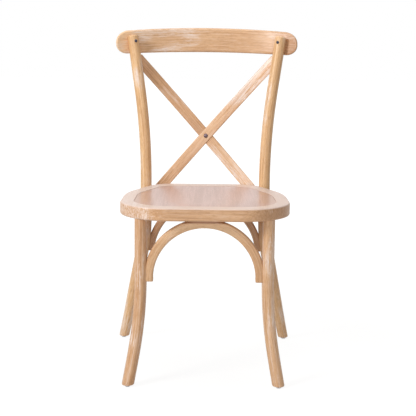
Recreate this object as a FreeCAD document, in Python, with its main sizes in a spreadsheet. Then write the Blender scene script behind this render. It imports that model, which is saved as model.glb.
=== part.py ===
import FreeCAD, Part
import Sketcher
import math
import os

# Cross back dining chair. Millimetres, +Z up, the sitter faces -Y. While the pieces are
# built, y = 0 is near the middle of the seat. At the end all pieces move together, so that
# the origin lies under the middle of the whole chair, on the floor.

V = FreeCAD.Vector
UP = V(0, 0, 1)
SIDES = {"left": -1, "right": 1}

SIZES = {
    # seat rim, seen from above; half widths are from the middle of the chair
    "seat_height": 455, "rim_thickness": 32,
    "seat_front": 211, "seat_rear": 227.5, "front_half": 221, "flank_half": 213,
    "flank_start": 55, "rear_half": 136,
    "front_corner_radius": 130, "flank_corner_radius": 280, "rear_corner_radius": 75,
    "rim_width_front": 40, "rim_width_side": 35, "rim_width_flank": 36, "rim_width_rear": 42,
    "ledge_width": 18, "ledge_depth": 9.5, "panel_front_radius": 92,
    "panel_flank_radius": 240, "panel_rear_radius": 50, "rim_round": 4.5, "rim_inner_round": 1.2,
    "front_joint": 118, "rear_joint": 92,
    "joint_dowel_radius": 4, "joint_dowel_length": 38, "joint_dowel_spread": 13,
    # seat panel
    "panel_thickness": 8.5, "panel_gap": 0.4, "dish_depth": 2.5, "dish_radius": 150,
    # front legs
    "front_leg_radius": 15.4, "front_leg_x": 159.8, "front_leg_y": 165,
    "front_foot_x": 190.3, "front_foot_y": 204, "front_bend_height": 171,
    "front_bend_reach": 100, "tenon_radius": 11, "tenon_length": 20,
    # rear posts, each one piece from the floor to the crest rail
    "rear_foot_radius": 14.4, "rear_thigh_radius": 18.6, "post_radius": 15.4,
    "thigh_height": 300, "taper_end_height": 440,
    "rear_foot_x": 231.9, "rear_foot_y": 247, "rear_bend_height": 315, "rear_bend_reach": 85,
    "post_x": 165.7, "post_y": 181, "post_bend_height": 590, "post_bend_reach": 130,
    "post_bend_y": 212, "post_top_height": 868, "post_top_x": 206.4, "post_top_y": 245,
    "post_top_round": 5,
    # the curved back surface that the rail and the slats lie on
    "back_radius": 430, "back_lean": 10, "back_y": 310, "back_y_height": 855,
    # crest rail
    "rail_half": 252, "rail_top": 889.7, "rail_bottom": 821.9, "rail_top_drop": 11,
    "rail_bottom_drop": 6, "rail_thickness": 22, "rail_end_radius": 29, "rail_round": 6,
    # crossed slats
    "slat_width": 29.4, "slat_thickness": 10, "slat_top_x": 201.6, "slat_foot_x": 141.5,
    "slat_top": 814.5, "slat_end_proud": 1, "slat_foot_drop": 6, "slat_step": 2, "slat_lap": 4, "slat_round": 2.2,
    "slat_notch": 54, "slat_foot_gap": 1,
    # arched braces under the seat
    "arch_depth": 18, "arch_front_thickness": 23.5, "arch_rear_thickness": 20,
    "arch_side_thickness": 22, "arch_cope": 3, "arch_tail": 8, "arch_round": 5,
    "arch_front_y": 165, "arch_rear_y": 195, "arch_front_radius": 152,
    "arch_rear_radius": 162, "arch_side_radius": 164, "arch_rear_rise": 8,
    # fasteners
    "rail_screw_radius": 2.5, "rail_screw_length": 44, "rail_screw_head": 4.3,
    "rail_screw_dome": 2.4, "rail_screw_height": 850.6,
    "slat_screw_radius": 2, "slat_screw_length": 26, "slat_screw_head": 4,
    "slat_screw_dome": 2, "slat_head_screw_drop": 10, "slat_foot_screw_drop": 13,
    "cross_bolt_radius": 3, "cross_bolt_head": 6.2, "cross_bolt_dome": 3.1,
    "cross_nut_radius": 5.5, "cross_nut_dome": 5,
    "arch_screw_radius": 2.5, "arch_screw_bite": 15, "arch_screw_head": 4.5,
    "arch_screw_dome": 2.2,
    "seat_bolt_radius": 4, "seat_bolt_head": 7.5, "seat_bolt_dome": 3.4,
    "seat_bolt_drop": 21,
    "washer_radius": 9, "washer_thickness": 1.6, "nut_radius": 6.5, "nut_height": 6.5,
    # floor glides
    "glide_radius": 8.5, "glide_height": 5, "glide_flat": 5.4, "glide_edge": 3,
    "nail_radius": 1.2, "nail_length": 16, "nail_start": 1.8,
    # clearances
    "fit_gap": 0.2, "hole_gap": 0.1,
}

doc = FreeCAD.newDocument("cross_back_chair")
sheet = doc.addObject("Spreadsheet::Sheet", "dims")
for row, (alias, number) in enumerate(SIZES.items(), start=1):
    sheet.set("A%d" % row, alias)
    sheet.set("B%d" % row, str(number))
    sheet.setAlias("B%d" % row, alias)
doc.recompute()

nodes = []


def size(alias):
    """A driving size, read back from the sheet."""
    return float(sheet.get(alias))


def bind(thing, name, expression):
    """Tie a property to the sheet; cells are written dims.alias."""
    thing.setExpression(name, expression)


def keep(thing, label):
    """Give a finished piece its name and list it for writing."""
    thing.Label = label
    nodes.append(thing)
    return thing


SEAT_BOTTOM = size("seat_height") - size("rim_thickness")
LEDGE_TOP = size("seat_height") - size("ledge_depth")
LEAN = math.radians(size("back_lean"))
FAR = 3 * size("seat_height")
PARALLEL = 0.999
SAME_PLACE = 0.5
SAME_HEIGHT = 0.01
LEG_RINGS = 26
POST_RINGS = 40
THROUGH_BACK = "dims.back_y + dims.back_radius / 4"


# sketches and solids

def origin_plane(body, role):
    return [f for f in body.Origin.OriginFeatures if f.Role == role][0]


def new_sketch(body, name, role):
    sketch = body.newObject("Sketcher::SketchObject", name)
    sketch.AttachmentSupport = [(origin_plane(body, role), "")]
    sketch.MapMode = "FlatFace"
    return sketch


def add_outline(sketch, points):
    """Closed polygon through the points, its corners tied together."""
    first = len(sketch.Geometry)
    count = len(points)
    for start, end in zip(points, points[1:] + points[:1]):
        sketch.addGeometry(Part.LineSegment(V(*start, 0), V(*end, 0)))
    for i in range(count):
        following = first + (i + 1) % count
        sketch.addConstraint(Sketcher.Constraint("Coincident", first + i, 2, following, 1))


def new_body(name):
    return doc.addObject("PartDesign::Body", name)


def pad(body, sketch, length, name, downward=False):
    feature = body.newObject("PartDesign::Pad", name)
    feature.Profile = sketch
    bind(feature, "Length", length)
    feature.Reversed = downward
    doc.recompute()
    return feature


def fillet(body, base, edges, radius, name):
    feature = body.newObject("PartDesign::Fillet", name)
    feature.Base = (base, ["Edge%d" % i for i in edges])
    bind(feature, "Radius", radius)
    doc.recompute()
    return feature


def edges_where(shape, test):
    """Numbers of the edges that pass the test."""
    return [i for i, edge in enumerate(shape.Edges, start=1) if test(edge)]


def is_upright(edge):
    direction = edge.tangentAt(edge.FirstParameter)
    return isinstance(edge.Curve, Part.Line) and abs(direction.z) > PARALLEL


def boolean(kind, name, base, tool):
    feature = doc.addObject(kind, name)
    feature.Base = base
    feature.Tool = tool
    doc.recompute()
    return feature


def cut(name, base, tool):
    return boolean("Part::Cut", name, base, tool)


def common(name, base, tool):
    return boolean("Part::Common", name, base, tool)


def shape_piece(name, shape):
    """A piece whose shape is made directly from curves."""
    feature = doc.addObject("Part::Feature", name)
    feature.Shape = shape
    return feature


def box(name, low, high):
    block = doc.addObject("Part::Box", name)
    block.Length, block.Width, block.Height = (high - low)
    block.Placement.Base = low
    return block


def round_edges(name, base, edges, radius):
    """Rounding on a piece made by booleans."""
    feature = doc.addObject("Part::Fillet", name)
    feature.Base = base
    feature.Edges = [(i, radius, radius) for i in edges]
    doc.recompute()
    return feature


# the round bent bars

def bent_line(corners, reaches):
    """Centre line of a bent bar, as a function of height.

    The corners are (height, x, y) from the floor up. At each inner corner the bar bends
    evenly over the given reach above and below it.
    """
    def at(height):
        span = 0
        while span < len(corners) - 2 and height > corners[span + 1][0]:
            span += 1
        low, high = corners[span], corners[span + 1]
        share = (height - low[0]) / (high[0] - low[0])
        place = [low[k] + share * (high[k] - low[k]) for k in (1, 2)]
        for i, reach in enumerate(reaches, start=1):
            before, corner, after = corners[i - 1:i + 2]
            inside = reach - abs(height - corner[0])
            if inside > 0:
                for k in (1, 2):
                    slope_in = (corner[k] - before[k]) / (corner[0] - before[0])
                    slope_out = (after[k] - corner[k]) / (after[0] - corner[0])
                    place[k - 1] += (slope_out - slope_in) * inside ** 2 / (4 * reach)
        return V(place[0], place[1], height)
    return at


def direction_at(line, height):
    step = 0.5
    return (line(height + step) - line(height - step)).normalize()


def round_bar(line, radius, low, high, stations, extra):
    """Solid of a round bent bar between two heights, its radius a function of height."""
    rings = []
    for i in range(stations):
        height = low + (high - low) * i / (stations - 1)
        ring = Part.Circle(line(height), direction_at(line, height), radius(height) + extra)
        rings.append(Part.Wire([ring.toShape()]))
    return Part.makeLoft(rings, True, False)


def smooth_step(share):
    share = min(max(share, 0.0), 1.0)
    return share * share * (3 - 2 * share)


def leg_line(side):
    """Centre line of a front leg."""
    return bent_line(
        [(0, side * size("front_foot_x"), -size("front_foot_y")),
         (size("front_bend_height"), side * size("front_leg_x"), -size("front_leg_y")),
         (size("seat_height"), side * size("front_leg_x"), -size("front_leg_y"))],
        [size("front_bend_reach")])


def leg_radius(height):
    return size("front_leg_radius")


def post_line(side):
    """Centre line of a rear leg and post."""
    return bent_line(
        [(0, side * size("rear_foot_x"), size("rear_foot_y")),
         (size("rear_bend_height"), side * size("post_x"), size("post_y")),
         (size("post_bend_height"), side * size("post_x"), size("post_bend_y")),
         (size("post_top_height"), side * size("post_top_x"), size("post_top_y"))],
        [size("rear_bend_reach"), size("post_bend_reach")])


def post_radius(height):
    foot, thigh, top = size("rear_foot_radius"), size("rear_thigh_radius"), size("post_radius")
    if height < size("thigh_height"):
        return foot + (thigh - foot) * smooth_step(height / size("thigh_height"))
    span = size("taper_end_height") - size("thigh_height")
    return thigh + (top - thigh) * smooth_step((height - size("thigh_height")) / span)


def floor_trim(solid):
    """Cut the lower end level, at the top of its glide."""
    under = Part.makeBox(2 * FAR, 2 * FAR, FAR, V(-FAR, -FAR, size("glide_height") - FAR))
    return solid.cut(under)


def leg_solid(side, extra=0.0):
    return round_bar(leg_line(side), leg_radius, -size("glide_height"), SEAT_BOTTOM,
                     LEG_RINGS, extra)


def post_solid(side, extra=0.0):
    return round_bar(post_line(side), post_radius, -size("glide_height"),
                     size("post_top_height"), POST_RINGS, extra)


# the curved back surface

def back_y(x, height, offset=0.0):
    """Depth of the back surface at a place seen from the front."""
    radius = size("back_radius")
    bow = radius - math.sqrt((radius + offset) ** 2 - x * x)
    slope = math.tan(LEAN)
    return size("back_y") + slope * (height - size("back_y_height")) - bow / math.cos(LEAN)


def back_normal(x):
    """Direction square to the back surface, pointing backward."""
    angle = math.asin(x / size("back_radius"))
    level = math.cos(angle)
    return V(math.sin(angle), level * math.cos(LEAN), -level * math.sin(LEAN))


def back_cylinder(name, offset):
    """Leaning round bar whose rear half is the back surface, moved out by an offset."""
    bar = doc.addObject("Part::Cylinder", name)
    bind(bar, "Radius", "dims.back_radius + %s" % offset)
    bar.Height = 2 * FAR
    axis = V(0, math.sin(LEAN), math.cos(LEAN))
    middle = V(0, size("back_y") - size("back_radius") / math.cos(LEAN), size("back_y_height"))
    bar.Placement = FreeCAD.Placement(middle - axis * FAR, FreeCAD.Rotation(UP, axis))
    return bar


def back_band(name, front, rear):
    """Leaning tube between two offsets from the back surface."""
    return cut(name, back_cylinder(name + "_rear", rear), back_cylinder(name + "_front", front))


def front_outline_block(name, points):
    """Block with the given outline in the front view, through the whole back."""
    body = new_body(name)
    sketch = new_sketch(body, name + "_outline", "XZ_Plane")
    add_outline(sketch, points)
    pad(body, sketch, THROUGH_BACK, name + "_pad", downward=True)
    return body


# seat

def rim_corners():
    """Right half of the seat's plan, as the corners of straight edges, from front to rear."""
    return [(size("front_half"), -size("seat_front")),
            (size("flank_half"), size("flank_start")),
            (size("rear_half"), size("seat_rear"))]


def mirrored(half):
    """Whole outline from its right half."""
    return half + [(-x, y) for x, y in reversed(half)]


def line_meeting(a, b, c, d):
    """Point where the line a-b meets the line c-d."""
    along = (b[0] - a[0], b[1] - a[1])
    across = (d[0] - c[0], d[1] - c[1])
    turn = along[0] * across[1] - along[1] * across[0]
    share = ((c[0] - a[0]) * across[1] - (c[1] - a[1]) * across[0]) / turn
    return (a[0] + share * along[0], a[1] + share * along[1])


def moved_in(start, end, distance):
    """An edge of the plan moved towards the middle of the seat."""
    length = math.hypot(end[0] - start[0], end[1] - start[1])
    shift = (-(end[1] - start[1]) / length * distance, (end[0] - start[0]) / length * distance)
    return ((start[0] + shift[0], start[1] + shift[1]), (end[0] + shift[0], end[1] + shift[1]))


def inset_corners(extra):
    """Right half of the rim's inner outline, moved in a further distance."""
    front, flank, rear = rim_corners()
    edges = [moved_in((0, front[1]), front, size("rim_width_front") + extra),
             moved_in(front, flank, size("rim_width_side") + extra),
             moved_in(flank, rear, size("rim_width_flank") + extra),
             moved_in(rear, (0, rear[1]), size("rim_width_rear") + extra)]
    return [line_meeting(*edges[i], *edges[i + 1]) for i in range(3)]


def plan_sketch(body, name, half, height):
    sketch = new_sketch(body, name, "XY_Plane")
    bind(sketch, "AttachmentOffset.Base.z", height)
    add_outline(sketch, mirrored(half))
    return sketch


def corner_edges(shape, half, index):
    """Upright edges at one corner of the plan, left and right."""
    place = half[index]
    return edges_where(shape, lambda e: is_upright(e) and
                       abs(abs(e.CenterOfMass.x) - place[0]) < SAME_PLACE and
                       abs(e.CenterOfMass.y - place[1]) < SAME_PLACE)


def round_plan(body, base, half, radii, name):
    """Round the plan corners, one radius for each pair."""
    for index, radius in enumerate(radii):
        base = fillet(body, base, corner_edges(base.Shape, half, index), radius,
                      "%s_%d" % (name, index))
    return base


PLAN_RADII = ["dims.front_corner_radius", "dims.flank_corner_radius", "dims.rear_corner_radius"]
PANEL_RADII = ["dims.panel_front_radius", "dims.panel_flank_radius", "dims.panel_rear_radius"]


def plan_block(name, half, radii, height, thickness):
    """Block with a rounded plan."""
    body = new_body(name)
    sketch = plan_sketch(body, name + "_plan", half, height)
    block = pad(body, sketch, thickness, name + "_pad")
    round_plan(body, block, half, radii, name + "_corner")
    return body


def rim_blank():
    """The whole seat rim, before it is parted at its joints."""
    height = "dims.seat_height - dims.rim_thickness"
    outer = plan_block("rim_outer", rim_corners(), PLAN_RADII, height, "dims.rim_thickness")
    top = size("seat_height")
    tip = outer.Tip
    outside = edges_where(tip.Shape, lambda e: not is_upright(e))
    fillet(outer, tip, outside, "dims.rim_round", "rim_edges")
    ledge = plan_block("rim_ledge", inset_corners(0), PANEL_RADII,
                       "dims.seat_height - dims.ledge_depth", "2 * dims.ledge_depth")
    opening = plan_block("rim_opening", inset_corners(size("ledge_width")), PANEL_RADII,
                         "dims.seat_height - 2 * dims.rim_thickness",
                         "3 * dims.rim_thickness")
    hollow = cut("rim_open", outer, opening)
    ring = cut("rim_ring", hollow, ledge)
    inner_lip = edges_where(ring.Shape, lambda e: on_inner_lip(e) and
                            abs(e.BoundBox.ZMin - top) < SAME_HEIGHT and
                            abs(e.BoundBox.ZMax - top) < SAME_HEIGHT)
    return round_edges("rim_lip", ring, inner_lip, size("rim_inner_round"))


def on_inner_lip(edge):
    """True for an edge of the rim's top face that borders the panel."""
    front, flank, rear = inset_corners(-1)
    inside = abs(edge.CenterOfMass.y) < max(-front[1], rear[1])
    return inside and abs(edge.CenterOfMass.x) < front[0]


def joint_box(name, half, front):
    reach = -FAR if front else FAR
    low = V(-half, min(0, reach), 0)
    high = V(half, max(0, reach), FAR)
    return box(name, low, high)


def rim_pieces(blank):
    """Front and rear rails of the seat rim, and its two curved sides."""
    front_box = joint_box("front_part", size("front_joint"), True)
    rear_box = joint_box("rear_part", size("rear_joint"), False)
    pieces = {"front": common("rim_front", blank, front_box),
              "rear": common("rim_rear", blank, rear_box)}
    sides = cut("rim_sides", cut("rim_without_front", blank, front_box), rear_box)
    for name, side in SIDES.items():
        half = box("half_" + name, V(min(0, side * FAR), -FAR, 0), V(max(0, side * FAR), FAR, FAR))
        pieces[name] = common("rim_" + name, sides, half)
    return pieces


def seat_panel():
    """Dished board that lies on the rim's ledge."""
    thickness = size("panel_thickness")
    board = plan_block("panel_board", inset_corners(size("panel_gap")), PANEL_RADII,
                       "dims.seat_height - dims.ledge_depth", "dims.panel_thickness")
    depth, radius = size("dish_depth"), size("dish_radius")
    ball = doc.addObject("Part::Sphere", "dish_ball")
    ball.Radius = (radius ** 2 + depth ** 2) / (2 * depth)
    middle = (size("seat_rear") - size("seat_front")) / 2
    ball.Placement.Base = V(0, middle, LEDGE_TOP + thickness - depth + ball.Radius.Value)
    return cut("seat_panel_body", board, ball)


# crest rail and slats

def crest_rail():
    """Bowed rail across the tops of the posts, with rounded ends and edges."""
    body = new_body("rail_block")
    sketch = new_sketch(body, "rail_front", "XZ_Plane")
    half, top, bottom = size("rail_half"), size("rail_top"), size("rail_bottom")
    end_top = top - size("rail_top_drop")
    end_bottom = bottom - size("rail_bottom_drop")
    sketch.addGeometry(Part.Arc(V(-half, end_top, 0), V(0, top, 0), V(half, end_top, 0)))
    sketch.addGeometry(Part.LineSegment(V(half, end_top, 0), V(half, end_bottom, 0)))
    sketch.addGeometry(Part.Arc(V(half, end_bottom, 0), V(0, bottom, 0),
                                V(-half, end_bottom, 0)))
    sketch.addGeometry(Part.LineSegment(V(-half, end_bottom, 0), V(-half, end_top, 0)))
    block = pad(body, sketch, THROUGH_BACK, "rail_pad", downward=True)
    corners = edges_where(block.Shape,
                          lambda e: abs(e.tangentAt(e.FirstParameter).y) > PARALLEL)
    fillet(body, block, corners, "dims.rail_end_radius", "rail_ends")
    band = back_band("rail_band", 0, size("rail_thickness"))
    plain = common("rail_plain", body, band)
    rims = edges_where(plain.Shape, lambda e: e.Length > size("rail_end_radius"))
    return round_edges("rail_rounded", plain, rims, size("rail_round"))


def slat_foot_height():
    """Height of the slats' lower ends, a little above the underside of the rim."""
    return SEAT_BOTTOM + size("slat_foot_drop")


def slat_slope():
    """Sideways run of a slat for its rise, from its foot to its upper end."""
    rise = size("slat_top") - slat_foot_height()
    return (size("slat_top_x") + size("slat_foot_x")) / rise


def slat_cross_height():
    """Height at which the two slats cross."""
    return slat_foot_height() + size("slat_foot_x") / slat_slope()


def slat_x(side, height):
    """Middle of a slat in the front view; side is where its upper end lies."""
    return side * slat_slope() * (height - slat_cross_height())


def slat_half_level():
    """Half of a slat's width, measured level."""
    return size("slat_width") / 2 * math.hypot(1, slat_slope())


def slat_foot_limit():
    """A slat's foot ends short of the post beside it."""
    return size("post_x") - size("post_radius") - size("slat_foot_gap")


def slat_outline(side, extra=0.0):
    """Front view of a slat before its ends are trimmed."""
    half = slat_half_level() + extra
    low = SEAT_BOTTOM - size("rim_thickness")
    top = size("slat_top") + size("slat_width")
    points = [(slat_x(1, top) - half, top), (slat_x(1, top) + half, top),
              (slat_x(1, low) + half, low), (slat_x(1, low) - half, low)]
    return [(side * x, z) for x, z in points]


def slat(name, side, offset, lap_from, lap_to):
    """Bent slat; its upper end lies on the given side, its lower end on the other.

    At the crossing it is cut back between two offsets from the back surface, for the lap.
    """
    block = front_outline_block(name + "_block", slat_outline(side))
    band = back_band(name + "_band", offset, offset + size("slat_thickness"))
    plain = common(name + "_plain", block, band)
    edges = edges_where(plain.Shape, lambda e: e.Length > 2 * size("slat_width"))
    rounded = round_edges(name + "_rounded", plain, edges, size("slat_round"))
    limit = side * slat_foot_limit()
    post_edge = post_line(1)(size("slat_top")).x + size("post_radius")
    reach = side * (post_edge + size("slat_end_proud"))
    low = V(min(-limit, reach), 0, slat_foot_height())
    high = V(max(-limit, reach), size("back_y") + size("back_radius"), size("slat_top"))
    trimmed = common(name + "_trimmed", rounded, box(name + "_room", low, high))
    other = front_outline_block(name + "_other", slat_outline(-side, size("fit_gap")))
    lap_band = back_band(name + "_lap_band", lap_from, lap_to)
    lap = common(name + "_lap", other, lap_band)
    return cut(name + "_lapped", trimmed, lap)


# arches

def arch(name, radius, thickness, contact):
    """Arched brace in the XZ plane about x = 0, under the seat; contact is its half span."""
    body = new_body(name)
    sketch = new_sketch(body, name + "_front", "XZ_Plane")
    centre = SEAT_BOTTOM - radius
    inner = radius - thickness
    low = centre - size("arch_tail")
    lift = centre + math.sqrt(max(radius ** 2 - contact ** 2, 1))
    bevel = size("arch_round")

    def line(a, b):
        sketch.addGeometry(Part.LineSegment(V(*a, 0), V(*b, 0)))

    def arc(a, b, c):
        sketch.addGeometry(Part.Arc(V(*a, 0), V(*b, 0), V(*c, 0)))

    line((-inner, low), (-inner, centre))
    arc((-inner, centre), (0, centre + inner), (inner, centre))
    line((inner, centre), (inner, low))
    line((inner, low), (contact - bevel, low))
    line((contact - bevel, low), (contact, low + bevel))
    line((contact, low + bevel), (contact, lift))
    arc((contact, lift), (0, centre + radius), (-contact, lift))
    line((-contact, lift), (-contact, low + bevel))
    line((-contact, low + bevel), (-contact + bevel, low))
    line((-contact + bevel, low), (-inner, low))
    block = pad(body, sketch, "dims.arch_depth", name + "_pad")
    block.Midplane = True
    doc.recompute()
    rims = edges_where(block.Shape, lambda e: e.Length > 3 * size("arch_depth"))
    fillet(body, block, rims, "dims.arch_round", name + "_edges")
    return body


def side_arch_ends(side):
    """Centres of the two legs that a side arch stands between, at its springing height."""
    height = SEAT_BOTTOM - size("arch_side_radius")
    return leg_line(side)(height), post_line(side)(height)


ARCHES = {}


def place_arches():
    """The four arches with where they stand and how far they reach."""
    cope = size("arch_cope")
    front_height = SEAT_BOTTOM - size("arch_front_radius")
    rear_height = SEAT_BOTTOM - size("arch_rear_radius")
    front_reach = leg_line(1)(front_height).x - size("front_leg_radius") + cope
    rear_reach = post_line(1)(rear_height).x - post_radius(rear_height) + cope
    ARCHES["front"] = dict(
        place=V(0, -size("arch_front_y"), 0), turn=0, radius=size("arch_front_radius"),
        thickness=size("arch_front_thickness"), contact=front_reach)
    ARCHES["rear"] = dict(
        place=V(0, size("arch_rear_y"), 0), turn=0, radius=size("arch_rear_radius"),
        thickness=size("arch_rear_thickness"), contact=rear_reach)
    for name, side in SIDES.items():
        front, rear = side_arch_ends(side)
        span = rear - front
        level = math.hypot(span.x, span.y)
        reach = level - size("front_leg_radius") - post_radius(front.z)
        along = V(span.x, span.y, 0).normalize()
        middle = front + along * (size("front_leg_radius") + reach / 2)
        ARCHES[name] = dict(
            place=V(middle.x, middle.y, 0), turn=math.degrees(math.atan2(span.y, span.x)),
            radius=size("arch_side_radius"), thickness=size("arch_side_thickness"),
            contact=reach / 2 + cope)


def arch_end_height(spec):
    """Height of an arch's sawn ends; the rear one ends above its springing line."""
    centre = SEAT_BOTTOM - spec["radius"]
    if spec is ARCHES["rear"]:
        return centre + size("arch_rear_rise")
    return centre - size("arch_tail")


def arch_matrix(spec):
    return FreeCAD.Placement(spec["place"], FreeCAD.Rotation(UP, spec["turn"]))


# fasteners

def screw_shape(radius, length, head_radius, dome, pointed):
    """Dome head screw along +Z, with the underside of its head at the origin."""
    tip = 2 * radius if pointed else 0
    end = radius / 4 if pointed else radius
    ball = (head_radius ** 2 + dome ** 2) / (2 * dome)
    angle = math.asin(min(head_radius / ball, 1)) / 2
    middle = V(ball * math.sin(angle), 0, dome - ball + ball * math.cos(angle))
    corners = [V(0, 0, dome), V(0, 0, -length), V(end, 0, -length)]
    if pointed:
        corners.append(V(radius, 0, tip - length))
    corners += [V(radius, 0, 0), V(head_radius, 0, 0)]
    outline = Part.makePolygon(corners).Edges
    outline.append(Part.Arc(corners[-1], middle, corners[0]).toShape())
    return Part.Face(Part.Wire(outline)).revolve(V(0, 0, 0), UP, 360)


def placed(shape, place, outward):
    """Copy of a shape with its +Z turned to the outward direction."""
    copy = shape.copy()
    copy.Placement = FreeCAD.Placement(place, FreeCAD.Rotation(UP, outward))
    return copy


def hole(place, outward, radius, depth):
    """Drilled hole that starts at the place and goes against the outward direction."""
    start = place + outward * size("hole_gap")
    return Part.makeCylinder(radius + size("hole_gap"), depth + 2 * size("hole_gap"), start,
                             outward * -1)


holes = {}


def drill(piece, place, outward, radius, depth):
    """Note a hole for a piece; all of them are cut at the end."""
    holes.setdefault(piece, []).append(hole(place, outward, radius, depth))


def rail_screws():
    """One screw through each post into the crest rail, square to the bowed rail."""
    shapes = []
    radius, length = size("rail_screw_radius"), size("rail_screw_length")
    shape = screw_shape(radius, length, size("rail_screw_head"), size("rail_screw_dome"), True)
    for name, side in SIDES.items():
        centre = post_line(side)(size("rail_screw_height"))
        outward = back_normal(centre.x) * -1
        place = centre + outward * (size("post_radius") + size("hole_gap"))
        shapes.append(placed(shape, place, outward))
        for piece in ("crest_rail", "back_post_" + name):
            drill(piece, place, outward, radius, length)
    return shapes


def slat_screws(at_top):
    """One screw from behind through each slat end, into the post or the seat rim."""
    shapes = []
    radius, length = size("slat_screw_radius"), size("slat_screw_length")
    shape = screw_shape(radius, length, size("slat_screw_head"), size("slat_screw_dome"), True)
    for slat_name, side, offset in (("cross_slat_front", 1, -size("slat_step")),
                                    ("cross_slat_rear", -1, 0)):
        if at_top:
            height = size("slat_top") - size("slat_head_screw_drop")
            x = (slat_x(side, height) + post_line(side)(height).x) / 2
            mate = "back_post_" + ("right" if side > 0 else "left")
        else:
            height = size("seat_height") - size("slat_foot_screw_drop")
            x = slat_x(side, height)
            mate = "seat_rim_" + ("left" if side > 0 else "right")
        outward = back_normal(x)
        rear = offset + size("slat_thickness")
        lift = size("fit_gap") + size("hole_gap")
        place = V(x, back_y(x, height, rear), height) + outward * lift
        shapes.append(placed(shape, place, outward))
        for piece in (slat_name, mate):
            drill(piece, place, outward, radius, length)
    return shapes


def crossing_fasteners():
    """Dome head bolt through the crossing, and the cap nut behind it."""
    height = slat_cross_height()
    outward = back_normal(0) * -1
    front = V(0, back_y(0, height, -size("slat_step")), height)
    rear = V(0, back_y(0, height, size("slat_thickness")), height)
    depth = (rear - front).dot(outward * -1)
    radius, gap = size("cross_bolt_radius"), size("hole_gap")
    bolt = screw_shape(radius, depth + radius, size("cross_bolt_head"),
                       size("cross_bolt_dome"), False)
    behind = front - outward * (depth + 2 * gap)
    nut = screw_shape(size("cross_nut_dome"), gap, size("cross_nut_radius"),
                      size("cross_nut_dome"), False)
    nut = placed(nut, behind, outward * -1)
    nut = nut.cut(hole(front, outward, radius, depth + radius))
    place = front + outward * gap
    for piece in ("cross_slat_front", "cross_slat_rear"):
        drill(piece, place, outward, radius, depth + radius)
    return [placed(bolt, place, outward)], [nut]


def hexagon(radius, height):
    """Six sided block standing on the origin."""
    sides = 6
    corners = [FreeCAD.Rotation(UP, 360 / sides * i).multVec(V(radius, 0, 0))
               for i in range(sides)]
    return Part.Face(Part.makePolygon(corners + corners[:1])).extrude(V(0, 0, height))


def seat_bolts():
    """Bolt through each post and the seat rim, with a washer and nut inside the rim."""
    bolts, washers, nuts = [], [], []
    height = size("seat_height") - size("seat_bolt_drop")
    flank, rear = rim_corners()[1:]
    length = math.hypot(rear[0] - flank[0], rear[1] - flank[1])
    inner = inset_corners(size("ledge_width"))
    radius, gap = size("seat_bolt_radius"), size("hole_gap")
    for name, side in SIDES.items():
        outward = V(side * (rear[1] - flank[1]) / length, (flank[0] - rear[0]) / length, 0)
        centre = post_line(side)(height)
        place = centre + outward * (post_radius(height) + gap)
        wall = V(side * inner[1][0], inner[1][1], height)
        inside = (place - wall).dot(outward)
        washer_place = place - outward * (inside + gap)
        reach = inside + size("washer_thickness") + size("nut_height") + radius
        bolt = screw_shape(radius, reach, size("seat_bolt_head"), size("seat_bolt_dome"), False)
        bore = hole(place, outward, radius, reach)
        washer = Part.makeCylinder(size("washer_radius"), size("washer_thickness"),
                                   washer_place, outward * -1)
        nut_place = washer_place - outward * (size("washer_thickness") + gap)
        blank = hexagon(size("nut_radius"), size("nut_height"))
        bolts.append(placed(bolt, place, outward))
        washers.append(washer.cut(bore))
        nuts.append(placed(blank, nut_place, outward * -1).cut(bore))
        for piece in ("back_post_" + name, "seat_rim_" + name, "seat_rim_rear"):
            drill(piece, place, outward, radius, reach)
        drill("seat_rim_" + name, washer_place, outward, size("washer_radius"), reach)
    return bolts, washers, nuts


def arch_screws():
    """Screws from the arches' inner faces into the legs, and from below into the rim."""
    to_legs, to_seat = [], []
    radius, bite, gap = size("arch_screw_radius"), size("arch_screw_bite"), size("hole_gap")
    for name, spec in ARCHES.items():
        thickness = spec["thickness"]
        length = thickness + bite
        shape = screw_shape(radius, length, size("arch_screw_head"), size("arch_screw_dome"),
                            True)
        centre = SEAT_BOTTOM - spec["radius"]
        inner = spec["radius"] - thickness
        turned = arch_matrix(spec)
        apex = turned.multVec(V(0, 0, centre + inner - gap))
        to_seat.append(placed(shape, apex, UP * -1))
        drill("arch_" + name, apex, UP * -1, radius, length)
        drill("seat_rim_" + name, apex, UP * -1, radius, length)
        rise = arch_end_height(spec) + size("arch_tail") - centre
        level = math.sqrt(inner ** 2 - rise ** 2)
        for end in (-1, 1):
            inward = turned.Rotation.multVec(V(-end * level, 0, -rise).normalize())
            place = turned.multVec(V(end * level, 0, centre + rise)) + inward * gap
            to_legs.append(placed(shape, place, inward))
            drill("arch_" + name, place, inward, radius, length)
            drill(arch_mate(name, end), place, inward, radius, length)
    return to_legs, to_seat


def arch_mate(name, end):
    """The leg that one end of an arch is screwed to."""
    if name == "front":
        return "front_leg_" + ("right" if end > 0 else "left")
    if name == "rear":
        return "back_post_" + ("right" if end > 0 else "left")
    return ("back_post_" if end > 0 else "front_leg_") + name


def rim_dowels():
    """Two dowels across each of the rim's four joints."""
    shapes = []
    radius, length = size("joint_dowel_radius"), size("joint_dowel_length")
    height = (SEAT_BOTTOM + LEDGE_TOP) / 2
    front_y = -size("seat_front") + (size("rim_width_front") + size("ledge_width")) / 2
    rear_y = size("seat_rear") - (size("rim_width_rear") + size("ledge_width")) / 2
    for name, side in SIDES.items():
        for rail, joint, middle in (("front", size("front_joint"), front_y),
                                    ("rear", size("rear_joint"), rear_y)):
            for row in (-1, 1):
                y = middle + row * size("joint_dowel_spread")
                end = V(side * (joint + length / 2), y, height)
                across = V(side, 0, 0)
                shapes.append(Part.makeCylinder(radius, length, end, across * -1))
                for piece in ("seat_rim_" + rail, "seat_rim_" + name):
                    drill(piece, end, across, radius, length)
    return shapes


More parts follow.
